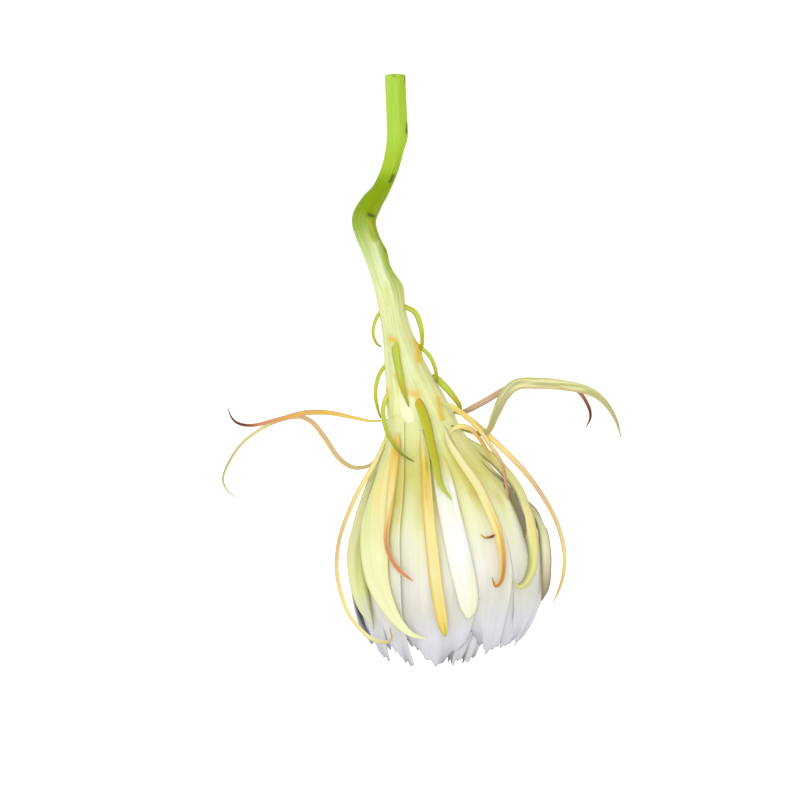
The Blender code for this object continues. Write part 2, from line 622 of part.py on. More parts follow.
def style(collection):
    """The style along the bell's middle, with its stigma's lobes spread at the tip."""
    line = []
    for y in np.linspace(SEAM + 1, STYLE_TIP, 12):
        middle_x, middle_z, _, _ = bell_section(y)
        line.append((middle_x, y, middle_z, STYLE_RADIUS))
    column = cut_across(rod("style_column", line, 2), SEAM - GAP, False)
    tip = Vector(line[-1][:3])
    lobes = []
    for i in range(STIGMA_LOBES):
        angle = 2 * math.pi * i / STIGMA_LOBES
        out = Vector((math.sin(angle), 0, math.cos(angle)))
        lobe = []
        for v in (0.0, 0.35, 0.7, 1.0):
            ahead = Vector((0, STYLE_RADIUS - STIGMA_LENGTH * v, 0))
            point = tip + ahead + out * (STIGMA_ROOT + STIGMA_SPREAD * v**1.5)
            lobe.append((*point, LOBE_RADIUS + (LOBE_END_RADIUS - LOBE_RADIUS) * v))
        lobes.append(rod(f"lobe_{i}", lobe, 0))
    fuse("style", column, lobes, collection)


def main():
    for item in list(bpy.data.objects):
        bpy.data.objects.remove(item)
    flower = bpy.data.collections.new("orchid_cactus_flower")
    cutters = bpy.data.collections.new("cutters")
    for collection in (flower, cutters):
        bpy.context.scene.collection.children.link(collection)
    floral_tube(flower)
    outer_tepals(flower)
    middle_tepals(flower, cutters)
    inner_petals(flower)
    stamens(flower)
    style(flower)


main()
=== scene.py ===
"""The looks of a cut orchid cactus flower that lies on a pale surface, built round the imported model.

Lengths are in millimetres in the flower's own plane, as in the model's source, and MM makes them metres.
Places in the outline are given as they show from EYE above the bloom's middle, where the camera stands.
"""

import math
import random

import bpy
import numpy as np
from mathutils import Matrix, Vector


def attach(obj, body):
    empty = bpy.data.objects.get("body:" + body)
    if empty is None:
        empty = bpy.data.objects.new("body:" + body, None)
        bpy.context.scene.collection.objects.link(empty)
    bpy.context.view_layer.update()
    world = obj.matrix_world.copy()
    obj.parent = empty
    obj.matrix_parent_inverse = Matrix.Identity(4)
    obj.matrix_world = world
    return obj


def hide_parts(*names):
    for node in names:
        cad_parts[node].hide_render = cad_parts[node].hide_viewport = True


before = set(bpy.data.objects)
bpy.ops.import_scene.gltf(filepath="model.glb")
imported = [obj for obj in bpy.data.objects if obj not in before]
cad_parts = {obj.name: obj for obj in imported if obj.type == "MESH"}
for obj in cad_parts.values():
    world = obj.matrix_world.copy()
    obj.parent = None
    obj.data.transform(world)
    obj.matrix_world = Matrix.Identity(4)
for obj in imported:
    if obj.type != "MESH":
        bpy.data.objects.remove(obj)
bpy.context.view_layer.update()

MM = 0.001

# The camera's height above the bloom's middle height, and the model's origin in the flower's plane
EYE = 889.0
MIDDLE = 38.0
ORIGIN = np.array((9.1, 14.87, 0.0))

# How many steps the curves and sheets have. A strap's are for each place on its route
CURVE_STEPS = 12
BELL_STEPS = 120
PETAL_ACROSS = 30
PETAL_ALONG = 90
STRAP_ACROSS = 10
STRAP_ALONG = 9
HIDDEN_ROWS = 90
UNDER_ACROSS = 16
UNDER_ROWS = 70
TUBE_ROWS = 300
TUBE_ACROSS = 96
COLLAR_ROWS = 40
THROAT_ROWS = 12

# The bell of the bloom: place along Y, middle X, middle height, radius
BELL = [
    (8, 4.4, 33.7, 10.2),
    (4.8, 5.2, 34, 11),
    (-4.8, 8, 34.8, 13.4),
    (-12, 9.6, 35.5, 16),
    (-20, 11.4, 36.3, 20.4),
    (-32, 14.8, 37.3, 28.6),
    (-42, 17.2, 37.9, 35),
    (-52, 18.6, 38, 39.6),
    (-64, 19.4, 38, 41.8),
    (-74, 19.4, 38, 41.4),
    (-84, 18.6, 38, 38.8),
    (-94, 17.6, 38, 34),
    (-102, 16.6, 38, 29.4),
    (-110, 15.6, 38, 24.5),
]

# How much lower than wide the bell is, and over what length from the throat it gets so
FLATTENED = 0.86
FLATTENS_OVER = 40.0

# The floral tube's middle line: X, Y, height, radius. It is cut straight across at its far end
STEM_END = 134.9
TUBE = [
    (-2, 130.4, 4.2, 4.2),
    (-1.6, 120, 4.4, 4.2),
    (-1.2, 108, 5, 4.2),
    (-2.2, 100, 5.5, 3.7),
    (-4.2, 92, 6.2, 3.5),
    (-7.8, 84, 7.2, 3.6),
    (-11.6, 78.5, 8.4, 4.5),
    (-14.4, 72.5, 10, 5),
    (-13.6, 67, 11.3, 4.7),
    (-10.8, 60, 13.2, 4.6),
    (-8, 52, 16, 4.6),
    (-4.6, 43, 20.3, 5.5),
    (-2.6, 33, 24.2, 5.6),
    (-0.6, 24, 27.4, 6.4),
    (1.6, 15, 30.6, 8.2),
    (5.2, 4.8, 34, 11),
    (7, 0, 35.2, 12.4),
]

# The tube meets the bell at its seam, the collar ends further on, and the petals' roots are inside it
SEAM = 4.8
ROOTS = 2.8
COLLAR_END = -16.8

# The tube's rings turn straight from here on
RINGS_STRAIGHTEN = 32.0

# The collar's edge draws in to meet the petals. A pair, here and below, is a change's start along Y
# and its length
COLLAR_DRAWN_IN = 5.5
COLLAR_DRAWS = (-5.0, 13.0)

# The tube's least height above the table
TUBE_CLEAR = 0.02

# Ridges round the tube: how many, how fast they wind, how high. All wind and grow with the tube's radius
RIDGES = [(5, 1, 0.10), (9, -2, 0.05), (17, 1, 0.03)]
RIDGE_WINDING = 0.012
RIDGE_GROWTH = 0.015

# Small bumps on the tube where a scale has fallen off: X, Y, radius, height. They are longer than wide
TUBE_BUMPS = [
    (2.9, 108, 2.2, 0.5),
    (-5.4, 61, 2.4, 0.7),
    (0.2, 46.4, 3.2, 1),
    (-14.8, 74, 3, 0.4),
    (7.4, 21, 2.6, 0.8),
    (-3.6, 24, 2, 0.6),
    (5, 1.6, 2.6, 0.9),
    (-6.6, 0, 2.2, 0.5),
]
BUMP_SHORTENED = 0.6

# The cut end's rings as shares of its radius, with a shallow dent round its middle
CUT_RINGS = (0.0, 0.4, 0.8, 0.93)
CUT_DENT = 0.02

# The collar's inner wall and the throat's floor, as insets from the bell's surface
THROAT_LIP = 0.4
THROAT_DEPTH = 3.0
THROAT_WALL = 6.6
THROAT_WIDENS = 1.4
THROAT_WIDENS_OVER = 10.0
THROAT_FLOOR = (7.5, 11.0)

# Small curled scales on the tube: X, Y, height, width, each from its root to its tip
SCALE_WIDENING = 1.3
SCALE_ROOT = 0.9
TUBE_SCALES = {
    "front_scale": [
        (-2.4, 24.5, 33.2, 2), (-1.9, 20, 36.8, 2.7), (-0.9, 14, 40.2, 2.3), (0.8, 6, 45.2, 1.8),
        (3.6, -2.8, 48.6, 0.8),
    ],
    "right_scale_high": [
        (1.6, 37.6, 25, 1.8), (6.2, 34.8, 28, 1.9), (8.6, 28, 29.5, 1.8), (8.8, 22, 31.5, 1.4),
        (7.6, 18.6, 33, 0.8),
    ],
    "right_scale_middle": [
        (5.6, 23, 29.5, 1.6), (9.6, 20, 32, 1.6), (12.6, 16.4, 34, 1.6), (14.4, 11.2, 35.5, 1.4),
        (14.8, 7.2, 37, 0.8),
    ],
    "right_scale_low": [
        (13, 10, 34, 2.2), (16.2, 7.4, 36, 2.4), (20, 3.2, 38, 2.3), (23.4, -1.4, 39, 1.8),
        (24.6, -4.4, 39.4, 0.9),
    ],
    "left_scale_high": [
        (-6.2, 37.4, 22.5, 1.4), (-9.4, 32.8, 26, 1.5), (-10.8, 27.2, 28, 1.3), (-9.4, 22.8, 30, 1.1),
        (-7.2, 21.2, 31, 0.8),
    ],
    "left_scale_low": [
        (-4.8, 15.6, 31.5, 1.5), (-8.6, 9.4, 35, 1.6), (-9.8, 2.4, 37.5, 1.5), (-8.8, -3.6, 39.5, 1.2),
        (-7.6, -7.4, 40.5, 0.8),
    ],
    "under_scale_high": [
        (-4.2, 45, 16, 2), (-3.8, 39, 14, 2.4), (-2.8, 31, 15.5, 1.8), (-1.8, 25, 17.5, 0.8),
    ],
    "under_scale_low": [
        (1.8, 17, 24.2, 2.4), (2.6, 10, 21, 2.8), (4, 2, 19.6, 2), (5.4, -4, 19.4, 0.8),
    ],
}

# Outer tepals that hang free: X, Y, height above the table, width
FREE_TEPALS = {
    "left_high": [
        (-5, -8, 34.6, 1.4), (-11.2, -8.4, 36.5, 1.4), (-18, -7.2, 35.5, 1.8), (-28, -5.2, 31.5, 2.4),
        (-38, -5.2, 25, 2.6), (-48, -7.6, 16.5, 2.2), (-58, -10, 7.5, 1.8), (-64, -9.6, 2.8, 1.6),
        (-67.2, -7.2, 1.2, 1.2), (-68.8, -3.2, 1, 0.7),
    ],
    "left_low": [
        (-3.2, -12, 27.4, 1.4), (-8.2, -22, 26.4, 1.6), (-12.8, -26.4, 25.4, 1.8),
        (-19.2, -26.8, 24.4, 2.2), (-24.8, -22.8, 22.8, 2.4), (-30, -15.2, 20, 2.4),
        (-35.2, -8.8, 16.5, 2.4), (-40.8, -6.6, 13, 2.4), (-48, -8, 9, 2.2), (-55.2, -11.2, 5.6, 2),
        (-62.8, -16.8, 3, 1.8), (-68, -24, 1.6, 1.5), (-70.8, -31.2, 1.1, 1.3), (-69.2, -36, 1, 1),
        (-66, -38.8, 1, 0.7),
    ],
    "right_pink": [
        (19.6, -4.6, 30.5, 1.6), (25.2, -4.8, 31, 2.6), (34, -0.4, 31.5, 2.8), (43.2, 4.8, 29, 2.6),
        (54, 7, 22.5, 2.4), (64, 6, 15.5, 2.4), (71.2, 3.6, 9, 2.2), (75.2, -2, 4.2, 2),
        (76.2, -6.8, 1.8, 1.5), (74.4, -10.8, 1, 0.8),
    ],
    "right_broad": [
        (20.4, -10.2, 44.7, 1.4), (28, -12.8, 44.6, 1.8), (34.8, -12.8, 45.5, 2.6), (38.2, -6, 46, 3.6),
        (42, 2, 45.5, 4.6), (47.2, 6.4, 43, 4.9), (56, 6.8, 36.5, 5), (66, 6, 28, 4.6),
        (76, 3.6, 17.5, 4), (82, -0.8, 9.5, 3.2), (86.4, -8, 2.8, 2), (88.4, -15.2, 1, 0.7),
    ],
    "right_loop": [
        (20.4, -5, 36.6, 1.6), (26, -6.4, 40.5, 2.4), (34.8, -13.6, 44, 2.7), (48, -26.4, 46, 2.8),
        (56.4, -37.2, 45.5, 2.6), (62.4, -48, 44, 2.4), (65.6, -59.2, 42.5, 2.2), (65.6, -68, 41, 1.9),
        (63.8, -75.2, 40.5, 1.5), (61.2, -80.8, 40.5, 0.8),
    ],
}

# Outer tepals on the bell's front and sides: X, Y, lift off its surface, width
FRONT_TEPALS = {
    "right_arch": [
        (15.6, -0.6, -0.5, 1.4), (20.8, -2.6, 4, 2.6), (26.4, -6.4, 7.5, 2.8), (32, -12, 9.2, 2.8),
        (37.2, -19.2, 8.7, 2.7), (40.8, -25.2, 6.6, 2.4), (42.4, -32, 3.2, 2.2), (43.2, -40, 1.8, 0.9),
    ],
    "left_edge": [
        (-4.2, -13, -0.6, 1.6), (-11.4, -27.2, 1.6, 2.4), (-18.4, -40, 2.6, 2.4),
        (-23.8, -54, 3.2, 2.3), (-25.4, -66, 3.8, 2.2), (-24, -76, 3.2, 2.2), (-20.2, -86, 2.2, 2.1),
        (-13.2, -94.2, 1.8, 2), (-6.8, -97, 1.6, 1.8), (-3.4, -95.6, 1.6, 1.3), (-4, -91.2, 1.6, 0.8),
    ],
    "front_left": [
        (-0.8, -12, -0.9, 3.6), (-1.8, -20, 1.4, 3.8), (-2.6, -28, 1.6, 3.6), (-4.4, -44, 1.6, 3),
        (-5.6, -56, 1.6, 2.4), (-3.6, -63.2, 1.6, 2.3), (0, -68.4, 1.8, 2.2), (5.2, -72.4, 2.2, 1),
    ],
    "front_middle": [
        (8.6, -12, -0.9, 3.4), (9.8, -22, 1.1, 3.8), (10.8, -36, 1.3, 4.2), (11.6, -48, 1.4, 4.6),
        (12.8, -60, 1.4, 5), (14.4, -74, 1.4, 5), (16.4, -86, 1.4, 4.6), (18, -94.4, 1.4, 3.2),
    ],
    "front_right": [
        (17.2, -11, -0.6, 1.8), (20.4, -18, 1.2, 3), (24.8, -24.8, 1.5, 3.6), (31.2, -34, 1.6, 4.2),
        (36, -44, 1.6, 4.2), (39.6, -54, 1.6, 3.8), (41.2, -64, 1.6, 3.2), (40.6, -71.6, 1.8, 2.6),
        (38.2, -74.4, 2.4, 1.8), (36.8, -70.8, 3.2, 0.9),
    ],
    "front_bract": [
        (5.4, 3, -0.9, 3.4), (9.6, -6, 2.6, 4), (12.2, -16, 3.2, 3.6), (14.4, -26, 3.2, 3),
        (16.4, -34, 3, 2.2), (20.8, -40, 2.6, 0.9),
    ],
    "left_bract": [
        (-4, 5.2, -0.9, 2.4), (-6.8, -2.8, 2.6, 2.6), (-5.8, -11, 3, 2.4), (-2.6, -17.4, 3.6, 2),
        (1.2, -21.8, 3.6, 1.6), (5.8, -24.8, 3.2, 0.9),
    ],
    "right_small": [
        (19.4, -13.8, -0.8, 1.6), (21.8, -11.4, 2.6, 2), (25.8, -10.6, 5.4, 2.4), (30, -13, 7, 2.4),
        (34, -18.6, 6.6, 2.2), (37.2, -25.6, 4.4, 1),
    ],
    "small_curl": [
        (38.4, -53.8, 1, 1.2), (36.2, -54.8, 2.2, 1.3), (33.8, -55, 2.8, 1.1), (32.2, -53.8, 3, 0.8),
    ],
}

# Outer tepals on the side that lies down: angle from the front, and how far they reach along Y
HIDDEN_TEPALS = [(114, -84), (130, -82), (150, -92), (-154, -84), (-134, -88), (-118, -80)]
HIDDEN_ROOT = 8.0
HIDDEN_HALF = 1.7
HIDDEN_TIP_HALF = 0.3
HIDDEN_LIFT = 1.7
HIDDEN_BURIED = 0.8
HIDDEN_CROWN = 0.25
HIDDEN_BEND = math.radians(6)

# Middle tepals on the front and sides: X, Y, lift off the bell, width
MIDDLE_TEPALS = {
    "wide_left": [
        (0.6, 1.6, -2.6, 2.6), (-1.6, -8, -2.8, 3.6), (-3.6, -18, -2.5, 4.8), (-7.6, -28, -1.1, 7.4),
        (-10.6, -40, -0.3, 9.6), (-11.4, -56, -0.1, 10.4), (-10, -70, -0.1, 9), (-6.4, -80, -0.2, 6.8),
        (-1.6, -88, -0.1, 4.4), (4.4, -93.6, 0, 2.4), (11.2, -95.6, 0.1, 0.9),
    ],
    "green_left": [
        (-1.4, 1.2, -2.6, 2.4), (-2.8, -8, -2.8, 3), (-4.8, -17, -2.6, 3.4), (-11.4, -36, -0.7, 5.6),
        (-17.2, -56, -0.8, 7), (-17.8, -68, -0.8, 6.8), (-15.4, -80, -0.9, 5.4),
        (-10.4, -91.6, -1, 0.9),
    ],
    "right_hook": [
        (14, 1, -2.6, 2.6), (18.6, -8, -2.8, 3.2), (25, -15.6, -2.2, 4), (35.5, -22.2, 0.2, 4.6),
        (42.8, -29.5, 0.8, 5), (48, -36.8, 0.8, 5.6), (51.1, -46.1, 0.6, 5.8), (52.7, -54.4, 0.6, 5.4),
        (53.4, -60.7, 0.7, 4.8), (52.7, -68, 0.9, 4.4), (50.1, -73.2, 1.2, 3.6),
        (47.3, -74.6, 1.4, 2.6), (45.2, -72.4, 1.6, 1),
    ],
    # shaded_right is a narrow sheet painted dark for the shadow in the gap beside the hook
    "shaded_right": [
        (34, -26, -2.2, 1.4), (40, -31, -1.2, 2), (43.3, -35.2, -0.8, 2.6), (47, -42.5, -0.6, 3.2),
        (49.8, -50.3, -0.6, 3.2), (51.2, -57.6, -0.8, 2.4), (51.6, -63, -1.2, 1),
    ],
    "grey_right": [
        (14.8, 1.4, -2.6, 2.2), (19.4, -8, -2.8, 2.8), (24.4, -16, -2.8, 3.4), (33, -27, -2.8, 3.6),
        (44, -37, -2.4, 4), (53, -44.5, -1.2, 4.6), (57, -51.5, -0.4, 5), (58.4, -60, -0.2, 5.4),
        (58.6, -68, -0.2, 5), (58.2, -75, -0.2, 4), (56.6, -80.4, -0.4, 1.2),
    ],
    "white_roll": [
        (10.4, 1.2, -2.6, 2.8), (11.8, -8, -2.8, 3.8), (13.4, -18, -2.5, 5), (16.4, -28, -1, 7.2),
        (20, -46, -0.7, 8.8), (23.6, -62, -0.7, 9.4), (26.8, -76, -0.7, 8.8), (27.6, -83, -0.7, 7),
        (27.2, -87.6, -0.7, 3.6),
    ],
}

# Middle tepals on the side that lies down: angle from the front, tip along Y, widest, lift
UNDER_TEPALS = [
    (100, -84, 9, -0.9),
    (124, -92, 10, -0.9),
    (150, -86, 10, -0.9),
    (-150, -90, 10, -0.9),
    (-124, -84, 10, -0.9),
    (-100, -92, 9, -0.9),
]
RESTING_TEPAL = (178, -94, 17.0, 3.1)
UNDER_WIDEST_AT = 0.6
UNDER_ROOT_SHARE = 0.26
UNDER_INSET = 2.5
UNDER_RISE = 1.4
UNDER_RISES = (-21.0, 12.0)

# How far straps face up rather than away from the bell, and how much wider they get where it turns away
FREE_UPTURN = 2.5
FRONT_UPTURN = 0.7
MIDDLE_UPTURN = 0.25
MIDDLE_UPTURNS = {"right_hook": 1.6, "grey_right": 1.4, "shaded_right": 1.0, "green_left": 0.6}
MIDDLE_CROWN = 0.1
WIDEST_TURNED = 1.5

# A strap: how thick, how arched across, how wide at its root, its rounded end as a share of its length,
# the waves of its edges, and its least height above the table
STRAP_THICK = 0.5
STRAP_CROWN = 0.25
STRAP_ROOT = 0.35
STRAP_END = 0.06
STRAP_BLUNT = 0.06
STRAP_LEAST_HALF = 0.2
STRAP_WAVE = 0.03
STRAP_LONG_WAVES = 11
STRAP_SHORT_WAVES = 23
STRAP_CLEAR = 0.1

# Layers of broad petals: inset on the bell, then each petal's angle, lean of its tip, tip along Y,
# half its width in degrees, and where across its width its point is
PETAL_LAYERS = [
    (3.1, [
        (-46, 9, -105, 15, 0.7), (20, 13, -100, 15, 0.35), (56, 16, -97.6, 17, 0.3),
        (94, 0, -94, 20, 0), (136, 0, -97, 23, 0.2), (-179, 0, -99, 24, -0.2), (-138, 0, -98, 23, 0.1),
        (-103, 0, -99, 21, 0),
    ]),
    (4.2, [
        (-73, 0, -103.8, 25, 0.9), (-10, 4, -105.1, 26, 0), (40, 12, -98.6, 17, 0.4),
        (76, 12, -95.6, 18, 0.2), (116, 0, -95, 21, 0.1), (158, 0, -98, 22, 0), (-160, 0, -97, 22, 0),
        (-122, 0, -98, 21, -0.2),
    ]),
    (5.6, [
        (-86, 0, -99, 18, 0), (-54, 0, -98.6, 17, 0), (-24, 0, -98.8, 17, 0), (11, 0, -104.4, 8, 0),
        (23, 0, -103.8, 7, 0), (47, 0, -95.6, 18, 0.3), (66, 0, -96.6, 8, 0), (84, 0, -94.4, 9, 0),
        (104, 0, -92, 20, 0), (140, 0, -95, 22, 0), (-178, 0, -96, 22, 0), (-139, 0, -95, 22, 0),
        (-104, 0, -97, 20, 0),
    ]),
]

# A petal's blade: where it is widest, how wide its end is, how steeply its point falls off to each side,
# and how much less so where it turns from the camera
PETAL_THICK = 0.4
PETAL_WIDEST_AT = 0.6
PETAL_END = 0.72
PETAL_SLOPE = 0.85
PETAL_LEAST_TURN = 0.45

# Its place among its neighbours: each layer's depth at the roots, the tilt that laps one edge over the
# next, where it comes out of the collar, and how far its tip curls in
PETAL_BURIED = 0.3
PETAL_LAYER_DEPTH = 0.9
PETAL_RISES = (-4.0, 40.0)
PETAL_TILT = 0.9
PETAL_TILTS = (-6.0, 32.0)
PETAL_ROOT_DIP = 1.6
PETAL_DIPS = (-8.0, 9.0)
PETAL_EDGES_BURIED = 2.4
PETAL_EMERGES = -15.0
PETAL_EMERGES_OVER = 13.0
PETAL_CURL = 1.2

# Its relief: furrows along it, waves of its rim and sides, and its tip's teeth: how many, shift, depth
PETAL_FURROWS = 0.28
PETAL_RIM_WAVE = 0.5
PETAL_SIDE_WAVE = 0.02
PETAL_TEETH = [(9, 1, 0.6), (17, 2, 0.5)]
PETAL_SET_BACK = 0.9

# Rings of stamens: how many, inset at the throat, how far out in the bell they end, their tips along Y
STAMEN_RINGS = [(40, 7.0, 0.62, -72.0), (34, 7.6, 0.48, -66.0), (26, 8.2, 0.32, -58.0)]
STAMEN_ROOT = -2.0
STAMEN_STEPS = 14
STAMEN_TIPS_VARY = 6.0
STAMEN_STAGGER = 0.37
FILAMENT_RADIUS = 0.24
ANTHER_RADIUS = 0.62
ANTHER_LENGTH = 3.3
ANTHER_STEPS = 7

STYLE_RADIUS = 1.5
STYLE_TIP = -86.0
STYLE_STEPS = 40
STIGMA_LOBES = 16
STIGMA_LENGTH = 14.0
STIGMA_SPREAD = 8.0
STIGMA_BASE = 2.0
STIGMA_CROWDED = 0.7
LOBE_RADIUS = 0.6
LOBE_TAPER = 0.3
LOBE_STEPS = 12

# Plant tissue: how far its colours drift, how fine its noise is, how far apart two pieces are in it, what
# part of it shows, the width and strength of its edges' colours, its sheen, and its relief
DRIFT = 0.05
DRIFT_SCALE = 90.0
PIECES_APART = 60.0
FOLDS_ALONG = 1.3
VEINS_ALONG = 2.0
FOLDS_SHOWN = (0.40, 0.62)
VEINS_SHOWN = (0.3, 0.65)
EDGE_WIDTH = 0.3
EDGE_STRENGTH = 0.85
SHEEN = 0.12
BUMP_STRENGTH = 0.5
TISSUE_RELIEF = 0.25
TUBE_RELIEF = 0.3

# The light: the room's own, then each soft lamp's place, size and power
ROOM_LIGHT = 0.84
LAMPS = [("overhead", (-0.15, 0.05, 1.4), 1.0, 10.5)]
SURFACE_GLOW = 0.35
SURFACE_WHITE = (0.93, 0.93, 0.93)
SURFACE_SIZE = 6
SURFACE_DEPTH = 0.0002
LENS = 100
SENSOR_WIDTH = 36

# What the bright light adds is taken off again: a colour is given as it shows, and reflects this share
DIMMED = 0.98


def shown(red, green, blue):
    """A colour given in the 0 to 255 of a screen, as the linear one that a surface reflects."""
    shares = [value / 255 for value in (red, green, blue)]
    return tuple(DIMMED * (s / 12.92 if s <= 0.04045 else ((s + 0.055) / 1.055) ** 2.4) for s in shares)


# The tube's colours from its cut end to the collar, in lit and shaded copies for its painted light and
# shade, and its stains and painted highlights
STEM_TOP = shown(168, 203, 70)
STEM_GREEN = shown(157, 189, 44)
STEM_DEEP = shown(128, 154, 0)
KNEE_LIT_PALE = shown(142, 170, 62)
KNEE_SHADED_GREEN = shown(134, 150, 0)
NECK_MIDDLE = shown(180, 198, 116)
NECK_LIT_PALE = shown(202, 216, 152)
NECK_SHADED_GREEN = shown(146, 166, 34)
TUBE_LIT_PALE = shown(214, 220, 160)
TUBE_SHADED_YELLOW = shown(206, 208, 140)
COLLAR_CREAM = shown(222, 222, 152)
THROAT_CREAM = shown(232, 234, 180)
HIGHLIGHT_WHITE = shown(240, 248, 220)
OCHRE = shown(212, 176, 60)
SCAR = shown(70, 56, 18)

# The scales' and tepals' colours
LEAF_GREEN = shown(188, 204, 76)
MUSTARD = shown(188, 182, 44)
OLIVE = shown(150, 150, 60)
DARK_OLIVE = shown(112, 116, 40)
YELLOW = shown(236, 212, 100)
GOLD = shown(226, 184, 84)
LEMON = shown(242, 224, 146)
ORANGE = shown(226, 176, 98)
RUST = shown(184, 138, 66)
TAN = shown(216, 184, 140)
PINK = shown(208, 172, 148)
SALMON = shown(206, 136, 108)
MAROON = shown(104, 48, 38)
PALE_LEAF = shown(232, 230, 170)
PALE_GREEN = shown(218, 224, 150)
LEAF_SHADE = shown(196, 196, 120)
GREY_GREEN = shown(186, 184, 138)
GREY_BROWN = shown(130, 116, 96)
GAP_SHADE = shown(142, 136, 92)
CREAM = shown(242, 238, 204)

# The petals' colours from root to tip; the grey, cool and dark ones near the tips are painted shade
PETAL_ROOT = shown(232, 234, 168)
PETAL_ROOT_GREEN = shown(222, 218, 126)
PETAL_ROOT_YELLOW = shown(222, 212, 122)
PETAL_LEMON = shown(238, 240, 190)
PETAL_CREAM = shown(240, 240, 214)
PETAL_WHITE = shown(238, 236, 224)
PETAL_BRIGHT = shown(248, 248, 246)
PETAL_SHADED_GREY = shown(222, 219, 208)
PETAL_SHADED_COOL = shown(222, 222, 230)
PETAL_SHADE = shown(206, 206, 206)
PETAL_SHADED_TIP = shown(206, 205, 210)
SHADED_LILAC = shown(168, 166, 174)
SHADED_DARK_TIP = shown(112, 106, 96)

# The tube's colours along it: where the light falls, painted lighter, and on its greener side, painted
# darker as shade as well as greener
TUBE_LIT = [
    (0, STEM_TOP), (0.16, STEM_TOP), (0.26, STEM_GREEN), (0.31, STEM_DEEP), (0.39, STEM_DEEP),
    (0.425, KNEE_LIT_PALE), (0.47, NECK_MIDDLE), (0.54, NECK_LIT_PALE), (0.64, TUBE_LIT_PALE), (0.8, TUBE_LIT_PALE),
    (0.9, COLLAR_CREAM), (1, COLLAR_CREAM),
]
TUBE_SHADED_GREEN = [
    (0, STEM_GREEN), (0.2, STEM_GREEN), (0.3, STEM_DEEP), (0.42, KNEE_SHADED_GREEN), (0.56, NECK_SHADED_GREEN),
    (0.68, TUBE_SHADED_YELLOW), (0.82, TUBE_SHADED_YELLOW), (0.93, COLLAR_CREAM), (1, COLLAR_CREAM),
]

# How far the bands of the greener, painted-shade side reach round the tube, and where the lit colour has
# given way to the shaded one
BAND_REACH = 1.4
BANDS_SHOWN = (0.05, 0.75)
BAND_SCALE = (2.6, 5.0)
STREAK_SCALE = (11.0, 9.0)

# Marks on the tube's skin: the places that each one runs through, its half width, its strength. The white
# ones are painted highlights, the others the skin's own stains
TUBE_STAINS_AND_HIGHLIGHTS = {"ochre": OCHRE, "brown": SCAR, "white": HIGHLIGHT_WHITE, "fresh": LEAF_GREEN}
TUBE_MARKS = {
    "brown": [
        ([(-2.8, 89.8), (-3.4, 88.2), (-4, 87.4)], 0.7, 0.8),
        ([(-12.4, 74.2), (-10.8, 73.6)], 0.8, 0.9),
        ([(3, 110.4), (2.8, 107)], 0.6, 1),
        ([(-6, 61.4), (-5.6, 59.6)], 0.6, 0.5),
        ([(2, 130), (2.1, 127)], 0.35, 0.8),
        ([(-2.9, 129.9), (-1.8, 129.3)], 0.4, 0.5),
    ],
    "ochre": [
        ([(-3.6, 24.4), (-2.2, 23.8)], 1.5, 0.9),
        ([(6.4, 24), (7.4, 20), (7.6, 16)], 1.5, 1),
        ([(3.2, 2.4), (6.4, 2)], 1.8, 1),
        ([(-0.6, -9), (-0.2, -20)], 2.4, 0.9),
        ([(15.2, 0.6), (16.4, -6), (19, -11)], 1.1, 0.9),
        ([(-5.4, 4), (-6.6, -2)], 1.2, 0.9),
        ([(-1.8, 10), (1.4, 3)], 0.9, 0.6),
        ([(-12.6, 71.6), (-11.2, 68)], 0.5, 0.4),
    ],
    # Painted highlights: pale patches where the light catches the skin
    "white": [
        ([(2.6, 0), (3.4, -16)], 3, 0.6),
        ([(9.6, 4), (12, -4)], 2, 0.1),
        ([(3, 16), (5, 9)], 1.8, 0.2),
        ([(-10, 62), (-5.4, 47)], 1.6, 0.35),
    ],
    "fresh": [
        ([(-6.2, 2), (-7, -8), (-5, -16)], 1.6, 0.8),
        ([(-5.6, 47), (-4.8, 38)], 0.7, 0.5),
        ([(-13, 66), (-10.4, 60)], 1, 0.3),
    ],
}

